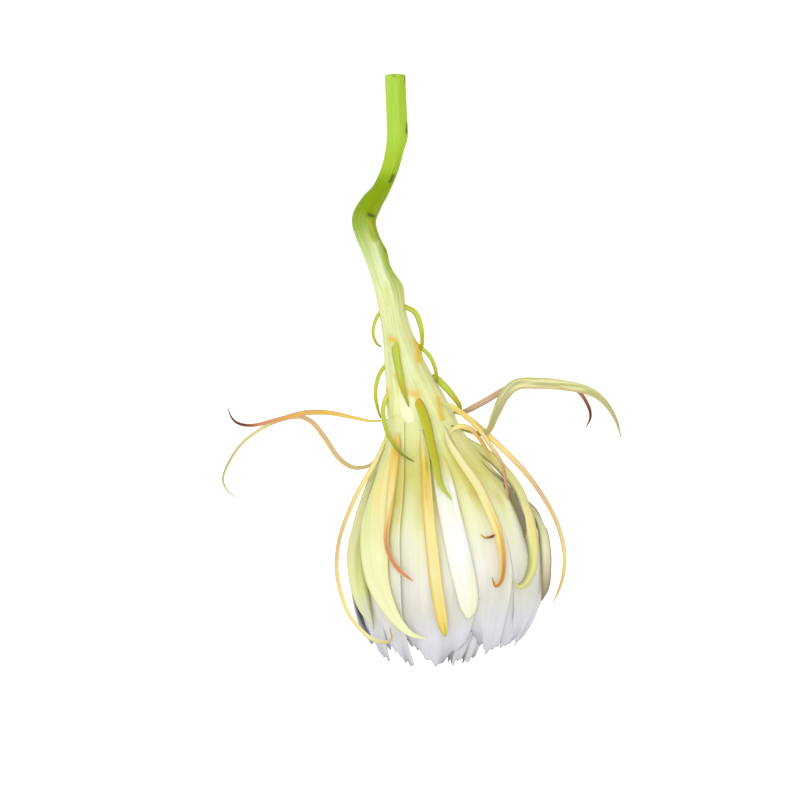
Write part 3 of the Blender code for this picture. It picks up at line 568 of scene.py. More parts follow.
# The looks of tepals: colours from root to tip, those of the furrows, and of the right and left edges
STRAP_LOOKS = {
    "left_high": dict(
        stops=[(0, LEAF_GREEN), (0.12, YELLOW), (0.35, GOLD), (0.55, ORANGE), (0.75, SALMON),
            (0.86, MAROON), (1, MAROON)],
        edge=TAN, far_edge=SALMON, twist=0.5,
    ),
    "left_low": dict(
        stops=[(0, OLIVE), (0.12, GREY_GREEN), (0.3, TAN), (0.5, TAN), (0.65, PALE_LEAF),
            (0.85, GREY_GREEN), (1, GREY_GREEN)],
        edge=GOLD, far_edge=GREY_GREEN, twist=-0.6,
    ),
    "right_pink": dict(
        stops=[(0, GREY_BROWN), (0.12, PINK), (0.5, PINK), (0.75, SALMON), (0.9, MAROON), (1, MAROON)],
        edge=TAN, far_edge=GREY_BROWN, twist=0.4,
    ),
    "right_broad": dict(
        stops=[(0, OLIVE), (0.14, GREY_GREEN), (0.3, PALE_LEAF), (0.45, PALE_LEAF), (0.7, PALE_LEAF),
            (1, GREY_BROWN)],
        furrows=[(0, OLIVE), (0.3, GREY_GREEN), (0.6, LEAF_SHADE), (1, GREY_GREEN)],
        edge=LEAF_SHADE, far_edge=TAN, bands=3, twist=0.25,
    ),
    "right_loop": dict(
        stops=[(0, LEAF_GREEN), (0.1, YELLOW), (0.3, LEMON), (0.5, TAN), (0.8, LEMON), (1, ORANGE)],
        edge=SALMON, far_edge=TAN, twist=0.35,
    ),
    "right_arch": dict(
        stops=[(0, PALE_GREEN), (0.2, YELLOW), (0.5, LEMON), (0.75, SALMON), (1, SALMON)],
        edge=ORANGE, far_edge=TAN, twist=0.3,
    ),
    "left_edge": dict(
        stops=[(0, PALE_GREEN), (0.2, LEMON), (0.45, TAN), (0.65, LEMON), (0.85, PALE_LEAF),
            (1, OLIVE)],
        edge=LEMON, far_edge=PINK, twist=0.3,
    ),
    "front_left": dict(
        stops=[(0, PALE_GREEN), (0.06, YELLOW), (0.18, GOLD), (0.4, LEMON), (0.56, ORANGE),
            (0.66, SALMON), (1, SALMON)],
        furrows=[(0, THROAT_CREAM), (0.15, YELLOW), (0.5, PALE_LEAF), (0.68, ORANGE), (0.78, SALMON),
            (1, SALMON)],
        edge=GOLD, far_edge=YELLOW, bands=2,
    ),
    "front_middle": dict(
        stops=[(0, THROAT_CREAM), (0.15, YELLOW), (0.35, GOLD), (0.5, LEMON), (0.75, LEMON),
            (0.93, YELLOW), (1, MUSTARD)],
        furrows=[(0, THROAT_CREAM), (0.2, MUSTARD), (0.4, LEMON), (0.7, PALE_LEAF), (1, YELLOW)],
        edge=LEMON, far_edge=GOLD, bands=2.5,
    ),
    "front_right": dict(
        stops=[(0, THROAT_CREAM), (0.15, PALE_LEAF), (0.4, LEMON), (0.65, GOLD), (0.85, RUST),
            (1, RUST)],
        furrows=[(0, THROAT_CREAM), (0.4, PALE_LEAF), (0.7, LEMON), (0.86, ORANGE), (1, RUST)],
        edge=ORANGE, far_edge=LEMON, bands=2,
    ),
    "front_bract": dict(
        stops=[(0, OCHRE), (0.08, OCHRE), (0.2, MUSTARD), (0.6, MUSTARD), (1, LEAF_GREEN)],
        edge=OLIVE, far_edge=LEAF_GREEN,
    ),
    "right_small": dict(
        stops=[(0, THROAT_CREAM), (0.2, LEMON), (0.6, GOLD), (1, ORANGE)],
        edge=YELLOW, far_edge=ORANGE, twist=0.3,
    ),
    "small_curl": dict(
        stops=[(0, GOLD), (0.3, MAROON), (1, OCHRE)],
    ),
    "left_bract": dict(
        stops=[(0, YELLOW), (0.3, LEAF_GREEN), (0.6, MUSTARD), (0.8, OLIVE), (1, DARK_OLIVE)],
        edge=LEAF_GREEN, far_edge=OLIVE,
    ),
}
MIDDLE_LOOKS = {
    "wide_left": dict(
        stops=[(0, THROAT_CREAM), (0.15, PALE_GREEN), (0.28, LEMON), (0.38, LEMON), (0.5, PALE_LEAF),
            (0.64, PETAL_LEMON), (0.85, PALE_LEAF), (1, PALE_LEAF)],
        furrows=[(0, THROAT_CREAM), (0.3, PALE_GREEN), (0.45, PALE_GREEN), (0.7, PETAL_LEMON),
            (1, PETAL_LEMON)],
        edge=PALE_LEAF, far_edge=PALE_LEAF, bands=2,
    ),
    # green_left's olive middle and olive right edge are painted shadow: the dark gap beside the wide
    # tepal
    "green_left": dict(
        stops=[(0, THROAT_CREAM), (0.15, PALE_GREEN), (0.28, OLIVE), (0.5, OLIVE), (0.66, LEAF_SHADE),
            (0.84, PALE_GREEN), (1, PETAL_SHADE)],
        furrows=[(0, THROAT_CREAM), (0.15, PALE_GREEN), (0.35, GREY_GREEN), (0.8, PALE_LEAF),
            (1, PETAL_SHADE)],
        edge=OLIVE, far_edge=PALE_GREEN, bands=2,
    ),
    "right_hook": dict(
        stops=[(0, THROAT_CREAM), (0.2, PALE_GREEN), (0.6, PALE_LEAF), (0.75, PALE_LEAF),
            (0.84, LEAF_SHADE), (1, GREY_GREEN)],
        furrows=[(0, THROAT_CREAM), (0.3, PALE_GREEN), (0.7, LEMON), (1, PALE_GREEN)],
        edge=LEAF_SHADE, far_edge=GAP_SHADE, bands=3,
    ),
    # Painted shadow colours for the dark gap beside the hook
    "shaded_right": dict(
        stops=[(0, PALE_GREEN), (0.2, GAP_SHADE), (0.8, GREY_BROWN), (1, PETAL_SHADE)],
    ),
    "grey_right": dict(
        stops=[(0, THROAT_CREAM), (0.3, LEAF_SHADE), (0.5, LEAF_SHADE), (0.75, PALE_LEAF), (0.9, TAN),
            (1, GREY_BROWN)],
        furrows=[(0, THROAT_CREAM), (0.5, GREY_GREEN), (0.8, CREAM), (1, GREY_BROWN)],
        edge=GREY_BROWN, far_edge=GAP_SHADE, bands=2,
    ),
    "white_roll": dict(
        stops=[(0, THROAT_CREAM), (0.14, PETAL_ROOT_GREEN), (0.34, PETAL_ROOT_YELLOW),
            (0.44, PETAL_BRIGHT), (0.75, PETAL_WHITE), (0.88, PETAL_CREAM), (1, PETAL_LEMON)],
        furrows=[(0, THROAT_CREAM), (0.3, PETAL_ROOT_GREEN), (0.45, PETAL_CREAM), (0.7, PETAL_BRIGHT),
            (1, PETAL_CREAM)],
        bands=3,
    ),
}

# Petal colours from root to tip, greying towards the tip as painted shade
PETAL_STOPS = [
    (0, PETAL_ROOT), (0.16, PETAL_ROOT), (0.28, PETAL_ROOT_GREEN), (0.4, PETAL_ROOT_YELLOW),
    (0.5, PETAL_LEMON), (0.62, PETAL_CREAM), (0.72, PETAL_WHITE), (0.82, PETAL_SHADED_GREY), (0.93, PETAL_SHADED_TIP),
]
# Lighter bands along the petals as painted highlights, ending in the tips' painted shade
PETAL_HIGHLIGHT_BAND_STOPS = [
    (0, PETAL_ROOT), (0.16, PETAL_ROOT), (0.3, PETAL_ROOT_GREEN), (0.44, PETAL_LEMON),
    (0.54, PETAL_CREAM), (0.66, PETAL_WHITE), (0.78, PETAL_SHADED_GREY), (0.9, PETAL_SHADED_COOL), (1, PETAL_SHADED_TIP),
]
# Each layer's tip colour, painted shade; darkest on the small petals in the mouth
LAYER_SHADED_TIPS = (SHADED_LILAC, SHADED_LILAC, SHADED_DARK_TIP)

SCALE_LOOKS = dict(
    stops=[(0, OCHRE), (0.1, LEAF_GREEN), (0.55, LEAF_GREEN), (0.75, MUSTARD), (1, OLIVE)],
    edge=MUSTARD, far_edge=OLIVE,
)


def smooth(points, count):
    """This many points, evenly spaced, on a smooth curve through the given ones."""
    knots = np.array(points, float)
    ends = np.vstack([2 * knots[0] - knots[1], knots, 2 * knots[-1] - knots[-2]])
    steps = np.linspace(0, 1, CURVE_STEPS, endpoint=False)[:, None]
    dense = []
    for a, b, c, d in zip(ends, ends[1:], ends[2:], ends[3:]):
        cubic = (3 * b - a - 3 * c + d) * steps**3 + (2 * a - 5 * b + 4 * c - d) * steps**2
        dense.append(b + 0.5 * ((c - a) * steps + cubic))
    dense = np.vstack(dense + [knots[-1:]])
    lengths = np.linalg.norm(np.diff(dense[:, :3], axis=0), axis=1)
    walked = np.concatenate([[0], np.cumsum(lengths)])
    wanted = np.linspace(0, walked[-1], count)
    return np.column_stack([np.interp(wanted, walked, column) for column in dense.T])


BELL_ROWS = smooth(BELL, BELL_STEPS)[::-1]


def ease(x):
    """0 to 1 with a soft start and end."""
    x = np.clip(x, 0.0, 1.0)
    return x * x * (3 - 2 * x)


def towards_mouth(y, start, length):
    """A soft 0 to 1 over this length from start towards the bloom's mouth."""
    return ease((start - y) / length)


def towards_stem(y, start, length):
    """A soft 0 to 1 over this length from start towards the tube's cut end."""
    return ease((y - start) / length)


def unit(rows):
    return rows / np.linalg.norm(rows, axis=-1, keepdims=True)


def bell_section(y):
    """The bell's middle X, middle height, radius and flattening at this place along Y."""
    middle_x, middle_z, radius = (np.interp(y, BELL_ROWS[:, 0], BELL_ROWS[:, i]) for i in (1, 2, 3))
    return middle_x, middle_z, radius, 1 + (FLATTENED - 1) * towards_mouth(y, 0, FLATTENS_OVER)


def on_bell(y, angle, inset):
    """Points this far under the bell's surface, at an angle in radians from the front."""
    middle_x, middle_z, radius, depth = bell_section(y)
    reach = radius - inset
    x = middle_x + reach * np.sin(angle)
    z = middle_z + depth * reach * np.cos(angle)
    return np.stack(np.broadcast_arrays(x, y, z), axis=-1)


def nearness(z):
    """How much nearer to the middle a point at height z is than it shows."""
    return (EYE - (z - MIDDLE)) / EYE


def seen(x, y, z):
    """The point at height z that shows at x, y from EYE above the bloom's middle."""
    return x * nearness(z), y * nearness(z), z


def front_height(x, y, lift):
    """The height of a point lifted off the bell's front, or of the bell's middle outside its outline."""
    middle_x, middle_z, radius, depth = bell_section(y)
    rise = (radius + lift) ** 2 - (x - middle_x) ** 2
    return middle_z + depth * math.sqrt(max(rise, 0.0))


def over_bell(route):
    """The route's points with their lift off the bell turned into a place in space."""
    placed = []
    for x, y, lift, width in route:
        guess_x, guess_y, _ = seen(x, y, front_height(x, y, lift))
        placed.append((*seen(x, y, front_height(guess_x, guess_y, lift)), width))
    return placed


def over_table(route):
    """The route's points, given by their height above the table, as places in space."""
    return [(*seen(x, y, z), width) for x, y, z, width in route]


def turned_away(placed):
    """The same places, wider where the bell's side turns from the camera."""
    widened = []
    for x, y, z, width in placed:
        middle_x, _, radius, _ = bell_section(y)
        turned = math.sqrt(max(1 - ((x - middle_x) / radius) ** 2, 0.01))
        widened.append((x, y, z, width * min(1 / turned, WIDEST_TURNED)))
    return widened


def facing(points, upturn):
    """Which way a strap's face is turned: away from the bell's middle line, and up by upturn."""
    middle_x, middle_z, _, _ = bell_section(np.minimum(points[:, 1], 0))
    zeros = np.zeros(len(points))
    away = unit(np.column_stack([points[:, 0] - middle_x, zeros, points[:, 2] - middle_z]))
    return unit(away + np.array((0, 0, upturn)))


def new_piece(name, mesh, material, node):
    """A piece of the root body that is shown in place of the model's node."""
    mesh.shade_smooth()
    mesh.materials.append(material)
    piece = bpy.data.objects.new(name, mesh)
    bpy.context.scene.collection.objects.link(piece)
    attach(piece, "root")
    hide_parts(node)
    return piece


def grid_mesh(name, points, along=None):
    """A mesh with its corners at points[along, across], and a map named leaf from 0 to 1 each way."""
    rows, columns, _ = points.shape
    index = np.arange(rows * columns).reshape(rows, columns)
    corners = [index[:-1, :-1], index[:-1, 1:], index[1:, 1:], index[1:, :-1]]
    faces = np.stack(corners, axis=-1).reshape(-1, 4)
    mesh = bpy.data.meshes.new(name)
    mesh.from_pydata(((points.reshape(-1, 3) - ORIGIN) * MM).tolist(), [], faces.tolist())
    along = np.linspace(0, 1, rows) if along is None else along
    u, v = np.meshgrid(np.linspace(0, 1, columns), along)
    flat = np.stack([u, v], axis=-1).reshape(-1, 2)
    leaf = mesh.uv_layers.new(name="leaf")
    leaf.data.foreach_set("uv", flat[faces.reshape(-1)].astype(np.float32).reshape(-1))
    return mesh


def blade(name, points, thickness, material, node):
    """A thin sheet of tissue with its middle at points[along, across]."""
    piece = new_piece(name, grid_mesh(name, points), material, node)
    wall = piece.modifiers.new("Thickness", "SOLIDIFY")
    wall.thickness = thickness * MM
    wall.offset = 0


def strap(name, placed, material, node, upturn, thickness=STRAP_THICK, crown=STRAP_CROWN, twist=0.0,
          root=STRAP_ROOT):
    """A ribbon along placed points, arched by crown of its width, with a slow twist and waved edges."""
    along = STRAP_ALONG * len(placed)
    line = smooth(placed, along + 1)
    tangents = unit(np.gradient(line[:, :3], axis=0))
    sides = unit(np.cross(tangents, facing(line, upturn)))
    faces = np.cross(sides, tangents)
    v = np.linspace(0, 1, along + 1)
    turn = (twist * np.sin(math.pi * v))[:, None]
    cosine, sine = np.cos(turn), np.sin(turn)
    sides, faces = sides * cosine + faces * sine, faces * cosine - sides * sine

    u = np.linspace(-1, 1, STRAP_ACROSS + 1)
    rounded = ((v - (1 - STRAP_END)) / STRAP_END).clip(0)
    end = np.sqrt((1 - rounded**2).clip(STRAP_BLUNT))
    widening = root + (1 - root) * ease(v * 8)
    half = ((line[:, 3] / 2 - thickness / 2).clip(STRAP_LEAST_HALF) * end * widening)[:, None]
    phase = len(name)
    ripple = np.sin(STRAP_LONG_WAVES * v + 1.7 * phase)[:, None] * u
    ripple = ripple + np.sin(STRAP_SHORT_WAVES * v + phase)[:, None] * u**2
    wrap = half / bell_section(line[:, 1])[2][:, None] / 2
    bend = half * (-(u**2) * (crown + wrap) + STRAP_WAVE * ripple * ease(v * 5)[:, None])
    points = line[:, None, :3] + sides[:, None] * (u * half)[..., None] + faces[:, None] * bend[..., None]
    points[..., 2] = points[..., 2].clip(thickness / 2 + STRAP_CLEAR)
    blade(name, points, thickness, material, node)


def plug(tree, socket, value):
    """Puts a number, a colour or another node's output into a socket."""
    if isinstance(value, tuple):
        socket.default_value = (*value, 1)
    elif isinstance(value, (int, float)):
        socket.default_value = value
    else:
        tree.links.new(value, socket)


def node_of(tree, kind, *values, **settings):
    """The outputs of a new node with these first inputs and settings; _ in an input's name is a space."""
    node = tree.nodes.new("ShaderNode" + kind)
    for key, value in settings.items():
        if hasattr(node, key):
            setattr(node, key, value)
        else:
            plug(tree, node.inputs[key.replace("_", " ")], value)
    for socket, value in zip(node.inputs, values):
        plug(tree, socket, value)
    return node.outputs


def sum_up(tree, operation, *values):
    return node_of(tree, "Math", *values, operation=operation)[0]


def spread(tree, value, low, high, to_low=0.0, to_high=1.0):
    """The value's way from low to high as a softened share from to_low to to_high."""
    ends = (low, high, to_low, to_high)
    return node_of(tree, "MapRange", value, *ends, interpolation_type="SMOOTHSTEP")[0]


def ramp(tree, factor, stops):
    """Colours that blend into one another from the first stop, at 0, to the last, at 1."""
    node = tree.nodes.new("ShaderNodeValToRGB")
    plug(tree, node.inputs[0], factor)
    elements = node.color_ramp.elements
    elements[0].color = (*stops[0][1], 1)
    elements[1].color = (*stops[-1][1], 1)
    for position, colour in stops[1:-1]:
        elements.new(position).color = (*colour, 1)
    return node.outputs[0]


def mixed(tree, factor, first, second, kind="MIX"):
    node = tree.nodes.new("ShaderNodeMix")
    node.data_type = "RGBA"
    node.blend_type = kind
    for index, value in ((0, factor), (6, first), (7, second)):
        plug(tree, node.inputs[index], value)
    return node.outputs[2]


def noise(tree, vector, scale, detail=2.5):
    return node_of(tree, "TexNoise", vector, Scale=scale, Detail=detail, Roughness=0.6)[0]


def leaf_map(tree):
    """The place across and along a sheet, each from 0 to 1."""
    return node_of(tree, "SeparateXYZ", node_of(tree, "UVMap", uv_map="leaf")[0])[:2]


def shader_tree(name):
    material = bpy.data.materials.new(name)
    material.use_nodes = True
    material.node_tree.nodes.clear()
    return material, material.node_tree


def close_tree(tree, colour, height, through, roughness, relief):
    """Ends a material: a satin surface with fine relief, and light that comes through from behind."""
    bump = node_of(tree, "Bump", Strength=BUMP_STRENGTH, Distance=relief * MM, Height=height)[0]
    result = node_of(tree, "BsdfPrincipled", Base_Color=colour, Roughness=roughness, Normal=bump,
                     Specular_IOR_Level=SHEEN)[0]
    if through:
        glow = node_of(tree, "BsdfTranslucent", colour)[0]
        result = node_of(tree, "MixShader", through, result, glow)[0]
    node_of(tree, "OutputMaterial", result)


def tissue(name, stops, furrows=None, edge=None, far_edge=None, bands=5.0, veins=26.0, vein_depth=0.08,
           through=0.12, roughness=0.5):
    """Plant tissue, with colours from root to tip and others in its furrows, fine veins and an edge."""
    material, tree = shader_tree(name)
    across, along = leaf_map(tree)
    place = node_of(tree, "TexCoord")["Object"]
    elsewhere = sum_up(tree, "MULTIPLY", node_of(tree, "SeparateXYZ", place)[0], PIECES_APART)
    drifted = sum_up(tree, "MULTIPLY_ADD", noise(tree, place, DRIFT_SCALE), DRIFT * 2, -DRIFT)
    where = sum_up(tree, "ADD", along, drifted)
    colour = ramp(tree, where, stops)

    def streaked(count, length, detail):
        """Noise in this many streaks across the sheet."""
        wide = sum_up(tree, "MULTIPLY", across, count)
        long = sum_up(tree, "MULTIPLY", along, length)
        return noise(tree, node_of(tree, "CombineXYZ", wide, long, elsewhere)[0], 1.0, detail)

    if furrows:
        folds = streaked(bands, FOLDS_ALONG, 1.0)
        colour = mixed(tree, spread(tree, folds, *FOLDS_SHOWN), ramp(tree, where, furrows), colour)
    streaks = streaked(veins, VEINS_ALONG, 2.5)
    shade = spread(tree, streaks, *VEINS_SHOWN, 1 - vein_depth, 1.0)
    colour = mixed(tree, 1.0, colour, shade, "MULTIPLY")
    if edge:
        right = spread(tree, across, EDGE_WIDTH, 0.0, 0.0, EDGE_STRENGTH)
        left = spread(tree, across, 1 - EDGE_WIDTH, 1.0, 0.0, EDGE_STRENGTH)
        colour = mixed(tree, right, colour, edge)
        colour = mixed(tree, left, colour, far_edge)
    close_tree(tree, colour, streaks, through, roughness, TISSUE_RELIEF)
    return material


def tube_skin():
    """The tube's waxy skin: green at the cut end and the knee, pale at the throat, and streaked, with
    painted light on its top and left, painted shade on its greener right side, and stains and painted
    highlights.
    """
    material, tree = shader_tree("tube_skin")
    around, along = leaf_map(tree)
    turn = sum_up(tree, "MULTIPLY_ADD", around, 2 * math.pi, -math.pi)
    rightward = sum_up(tree, "SINE", turn)
    upward = sum_up(tree, "COSINE", turn)

    def streaked(scale, detail):
        """Noise in streaks that run along the tube, this fine round it and along it."""
        round_scale, along_scale = scale
        x = sum_up(tree, "MULTIPLY", rightward, round_scale)
        y = sum_up(tree, "MULTIPLY", upward, round_scale)
        z = sum_up(tree, "MULTIPLY", along, along_scale)
        return noise(tree, node_of(tree, "CombineXYZ", x, y, z)[0], 1.0, detail)

    # The right side leans towards the greener colours, painted darker there as shade
    reach = sum_up(tree, "ADD", rightward, -BAND_REACH / 2)
    side = sum_up(tree, "MULTIPLY_ADD", streaked(BAND_SCALE, 2.0), BAND_REACH, reach)
    shaded_green_share = spread(tree, side, *BANDS_SHOWN)
    colour = mixed(tree, shaded_green_share, ramp(tree, along, TUBE_LIT), ramp(tree, along, TUBE_SHADED_GREEN))
    streaks = streaked(STREAK_SCALE, 2.5)
    colour = mixed(tree, 1.0, colour, spread(tree, streaks, 0.3, 0.7, 0.84, 1.04), "MULTIPLY")
    # Stains, and the white marks that are painted highlights, laid over the skin
    for mark_kind, mark_colour in TUBE_STAINS_AND_HIGHLIGHTS.items():
        share = node_of(tree, "Attribute", attribute_name=mark_kind)["Fac"]
        colour = mixed(tree, share, colour, mark_colour)
    close_tree(tree, colour, streaks, 0.0, 0.42, TUBE_RELIEF)
    return material


def mark_strength(x, y, marks):
    """How strongly each place is marked, from its distance to the lines that the marks run along."""
    total = np.zeros(len(x))
    for route, width, strength in marks:
        nearest = np.full(len(x), np.inf)
        for (ax, ay), (bx, by) in zip(route, route[1:]):
            share = ((x - ax) * (bx - ax) + (y - ay) * (by - ay)) / ((bx - ax) ** 2 + (by - ay) ** 2)
            share = share.clip(0, 1)
            distance = np.hypot(x - ax - share * (bx - ax), y - ay - share * (by - ay))
            nearest = np.minimum(nearest, distance)
        total = np.maximum(total, strength * np.exp(-((nearest / width) ** 2)))
    return total


def tube_rings():
    """Each ring's middle, sideways and upward directions and radius, from the cut end to the collar."""
    line = smooth(over_table(TUBE), TUBE_ROWS)
    line = line[line[:, 1] > SEAM + 0.3]
    line[:, 1] = line[:, 1].clip(None, STEM_END)
    backward = np.array((0.0, -1.0, 0.0))
    tangents = unit(np.gradient(line[:, :3], axis=0))
    straight = towards_mouth(line[:, 1], RINGS_STRAIGHTEN, RINGS_STRAIGHTEN - SEAM)[:, None]
    normals = unit(tangents * (1 - straight) + backward * straight)
    y = np.linspace(SEAM, COLLAR_END, COLLAR_ROWS)
    middle_x, middle_z, radius, depth = bell_section(y)
    inset = COLLAR_DRAWN_IN * towards_mouth(y, *COLLAR_DRAWS)
    collar = np.column_stack([middle_x, y, middle_z, radius - inset])
    middles = np.vstack([line, collar])
    normals = np.vstack([normals, np.tile(backward, (len(y), 1))])
    sides = unit(np.cross(normals, np.array((0.0, 0.0, 1.0))))
    tops = np.cross(sides, normals)
    tops[len(line):] *= depth[:, None]
    return middles[:, :3], sides, tops, middles[:, 3]


def tube_outside(middles, sides, tops, radius, angle):
    """The tube's outside with its ridges and bumps, in rings from the cut end to the collar's edge."""
    winding = RIDGE_WINDING * (middles[:, 1:2] - STEM_END)
    ridges = sum(height * np.cos(count * angle + turns * winding) for count, turns, height in RIDGES)
    out = sides[:, None] * -np.sin(angle)[None, :, None] + tops[:, None] * np.cos(angle)[None, :, None]
    shaped = radius[:, None] * (1 + RIDGE_GROWTH * ridges) + ridges
    points = middles[:, None] + out * shaped[..., None]
    lifted = np.zeros(points.shape[:2])
    for x, y, size, height in TUBE_BUMPS:
        away = np.hypot(points[..., 0] - x, (points[..., 1] - y) * BUMP_SHORTENED)
        lifted += height * np.exp(-((away / size) ** 2)) * (np.cos(angle) > -0.3)
    points += out * lifted[..., None]
    points[..., 1] = points[..., 1].clip(None, STEM_END)
    return points


def cut_face(middle, rim):
    """The tube's cut end, from its middle to its rim."""
    shares = np.array(CUT_RINGS)
    face = middle + (rim - middle) * shares[:, None, None]
    face[..., 1] = STEM_END - CUT_DENT + CUT_DENT * (shares == 0)[:, None]
    return face


def throat_inside(angle):
    """The collar's inner wall from its edge to the throat's floor, and the floor."""
    y = np.linspace(COLLAR_END + THROAT_LIP, ROOTS - THROAT_DEPTH, THROAT_ROWS)
    inset = THROAT_WALL - THROAT_WIDENS * towards_stem(y, COLLAR_END, THROAT_WIDENS_OVER)
    wall = on_bell(y[:, None], angle[None, :], inset[:, None])
    floor_y = y[-1:]
    floor = [on_bell(floor_y[:, None], angle[None, :], inset) for inset in THROAT_FLOOR]
    middle = on_bell(floor_y[:, None], 0 * angle[None, :], bell_section(floor_y)[2])
    return np.concatenate([wall, *floor, middle])


def floral_tube():
    """The tube from its cut end to the collar's edge and inside to the throat's floor, as one skin."""
    middles, sides, tops, radius = tube_rings()
    angle = np.linspace(-math.pi, math.pi, TUBE_ACROSS + 1)
    outside = tube_outside(middles, sides, tops, radius, angle)
    skin = np.concatenate([cut_face(middles[:1, None], outside[:1]), outside, throat_inside(angle)])
    skin[..., 2] = skin[..., 2].clip(TUBE_CLEAR)

    along = ((STEM_END - skin[:, 0, 1]) / (STEM_END - COLLAR_END)).clip(0, 1)
    mesh = grid_mesh("tube_body", skin, along)
    x, y, z = skin.reshape(-1, 3).T
    front = np.tile(np.cos(angle) > -0.2, len(skin))
    # How strongly each stain and painted highlight shows, on the tube's front
    for mark_kind, marks in TUBE_MARKS.items():
        strength = mark_strength(x / nearness(z), y / nearness(z), marks) * front
        layer = mesh.attributes.new(mark_kind, "FLOAT", "POINT")
        layer.data.foreach_set("value", strength.astype(np.float32))
    piece = new_piece("tube_body", mesh, tube_skin(), "floral_tube")
    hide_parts("outer_tepals")
    seam = piece.modifiers.new("Seam", "WELD")
    seam.merge_threshold = 1e-6


def tube_scales():
    skin = tissue("scale_skin", veins=7.0, **SCALE_LOOKS)
    for name, route in TUBE_SCALES.items():
        wider = [(x, y, z, width * SCALE_WIDENING) for x, y, z, width in over_table(route)]
        strap(name, wider, skin, "floral_tube", FREE_UPTURN, root=SCALE_ROOT)


def dressed_strap(name, placed, upturn):
    looks = dict(STRAP_LOOKS[name])
    twist = looks.pop("twist", 0.0)
    skin = tissue(name + "_skin", veins=9.0, **looks)
    strap("outer_" + name, placed, skin, "outer_tepals", upturn, twist=twist)


def outer_tepals():
    """The straps that hang free, those on the bell, and plain ones on the side that lies down."""
    for name, route in FREE_TEPALS.items():
        dressed_strap(name, over_table(route), FREE_UPTURN)
    for name, route in FRONT_TEPALS.items():
        dressed_strap(name, over_bell(route), FRONT_UPTURN)
    skin = tissue("hidden_skin", STRAP_LOOKS["front_middle"]["stops"], veins=7.0)
    u = np.linspace(-1, 1, STRAP_ACROSS + 1)[None, :]
    v = np.linspace(0, 1, HIDDEN_ROWS)[:, None]
    root = COLLAR_END + HIDDEN_ROOT
    for i, (angle, tip) in enumerate(HIDDEN_TEPALS):
        y = root + (tip - root) * v
        half = HIDDEN_HALF * (1 - v**3) + HIDDEN_TIP_HALF
        lift = HIDDEN_LIFT * ease(v * 6) - HIDDEN_BURIED - HIDDEN_CROWN * half * u**2
        bend = HIDDEN_BEND * np.sin(3 * v)
        points = on_bell(y, math.radians(angle) + bend + u * half / bell_section(y)[2], -lift)
        blade(f"outer_hidden_{i}", points, STRAP_THICK, skin, "outer_tepals")


def middle_tepals():
    """The half-wide tepals on the front and sides, and broad ones on the side that lies down."""
    for name, route in MIDDLE_TEPALS.items():
        skin = tissue(name + "_skin", veins=16.0, **MIDDLE_LOOKS[name])
        placed = over_bell(route)
        if name.endswith("left"):
            placed = turned_away(placed)
        upturn = MIDDLE_UPTURNS.get(name, MIDDLE_UPTURN)
        strap("middle_" + name, placed, skin, "middle_tepals", upturn, PETAL_THICK,
              MIDDLE_CROWN)
    skin = tissue("under_skin", veins=16.0, **MIDDLE_LOOKS["wide_left"])
    u = np.linspace(-1, 1, UNDER_ACROSS + 1)[None, :]
    v = np.linspace(0, 1, UNDER_ROWS)[:, None]
    for i, (angle, tip, widest, lift) in enumerate(UNDER_TEPALS + [RESTING_TEPAL]):
        y = ROOTS + (tip - ROOTS) * v
        taper = 1 - ((v - UNDER_WIDEST_AT).clip(0) / (1 - UNDER_WIDEST_AT)) ** 2
        widening = UNDER_ROOT_SHARE + (1 - UNDER_ROOT_SHARE) * ease(v / UNDER_WIDEST_AT)
        half = widest / 2 * widening * taper.clip(0.06)
        inset = UNDER_INSET - (UNDER_RISE + lift) * towards_mouth(y, *UNDER_RISES)
        points = on_bell(y, math.radians(angle) + u * half / bell_section(y)[2], inset)
        points[..., 2] = points[..., 2].clip(PETAL_THICK / 2)
        blade(f"middle_under_{i}", points, PETAL_THICK, skin, "middle_tepals")


def petal_points(draw, layer, bell_inset, angle, lean, tip, spread_angle, point):
    """A broad petal's points, from its root under the collar to its toothed tip."""
    curl = draw.uniform(0, PETAL_CURL)
    phase = draw.uniform(0, 6)
    emerges = PETAL_EMERGES + draw.uniform(-5, 5)
    u = np.linspace(-1, 1, PETAL_ACROSS + 1)[None, :]
    v = np.linspace(0, 1, PETAL_ALONG + 1)[:, None]
    y = ROOTS + (tip - ROOTS) * v
    radius = bell_section(y)[2]

    taper = 1 - (1 - PETAL_END) * ((v - PETAL_WIDEST_AT).clip(0) / (1 - PETAL_WIDEST_AT)) ** 2
    half = math.radians(spread_angle) * radius * taper
    half = half * (1 + PETAL_SIDE_WAVE * np.sin(17 * v + phase) * u)

    buried = PETAL_LAYER_DEPTH * layer + PETAL_BURIED
    inset = buried + (bell_inset - buried) * towards_mouth(y, *PETAL_RISES)
    inset = inset + PETAL_ROOT_DIP * towards_stem(y, *PETAL_DIPS)
    inset = inset + curl * v**4 - PETAL_TILT * u * towards_mouth(y, *PETAL_TILTS)
    inset = inset + PETAL_EDGES_BURIED * towards_stem(y, emerges, PETAL_EMERGES_OVER) * np.abs(u) ** 1.5
    furrows = np.cos(5 * u + phase) + 0.6 * np.cos(9 * u - phase + 3 * v)
    inset = inset + PETAL_FURROWS * ease(v * 3) * furrows
    inset = inset + PETAL_RIM_WAVE * v**8 * np.abs(u) ** 2 * np.sin(30 * v + 5 * u + phase)

    turned = max(math.cos(math.radians(angle + lean)), PETAL_LEAST_TURN)
    slope = PETAL_SLOPE * turned * math.radians(spread_angle) * radius[-1, 0]
    teeth = sum(depth * np.sin(count * u + shift * phase) for count, shift, depth in PETAL_TEETH)
    behind = slope * np.abs(u - point) ** 1.15 * v**9 + v**9 * (teeth + PETAL_SET_BACK)
    centre = math.radians(angle) + math.radians(lean) * v**6
    return on_bell(y + behind, centre + u * half / (radius - inset), inset)


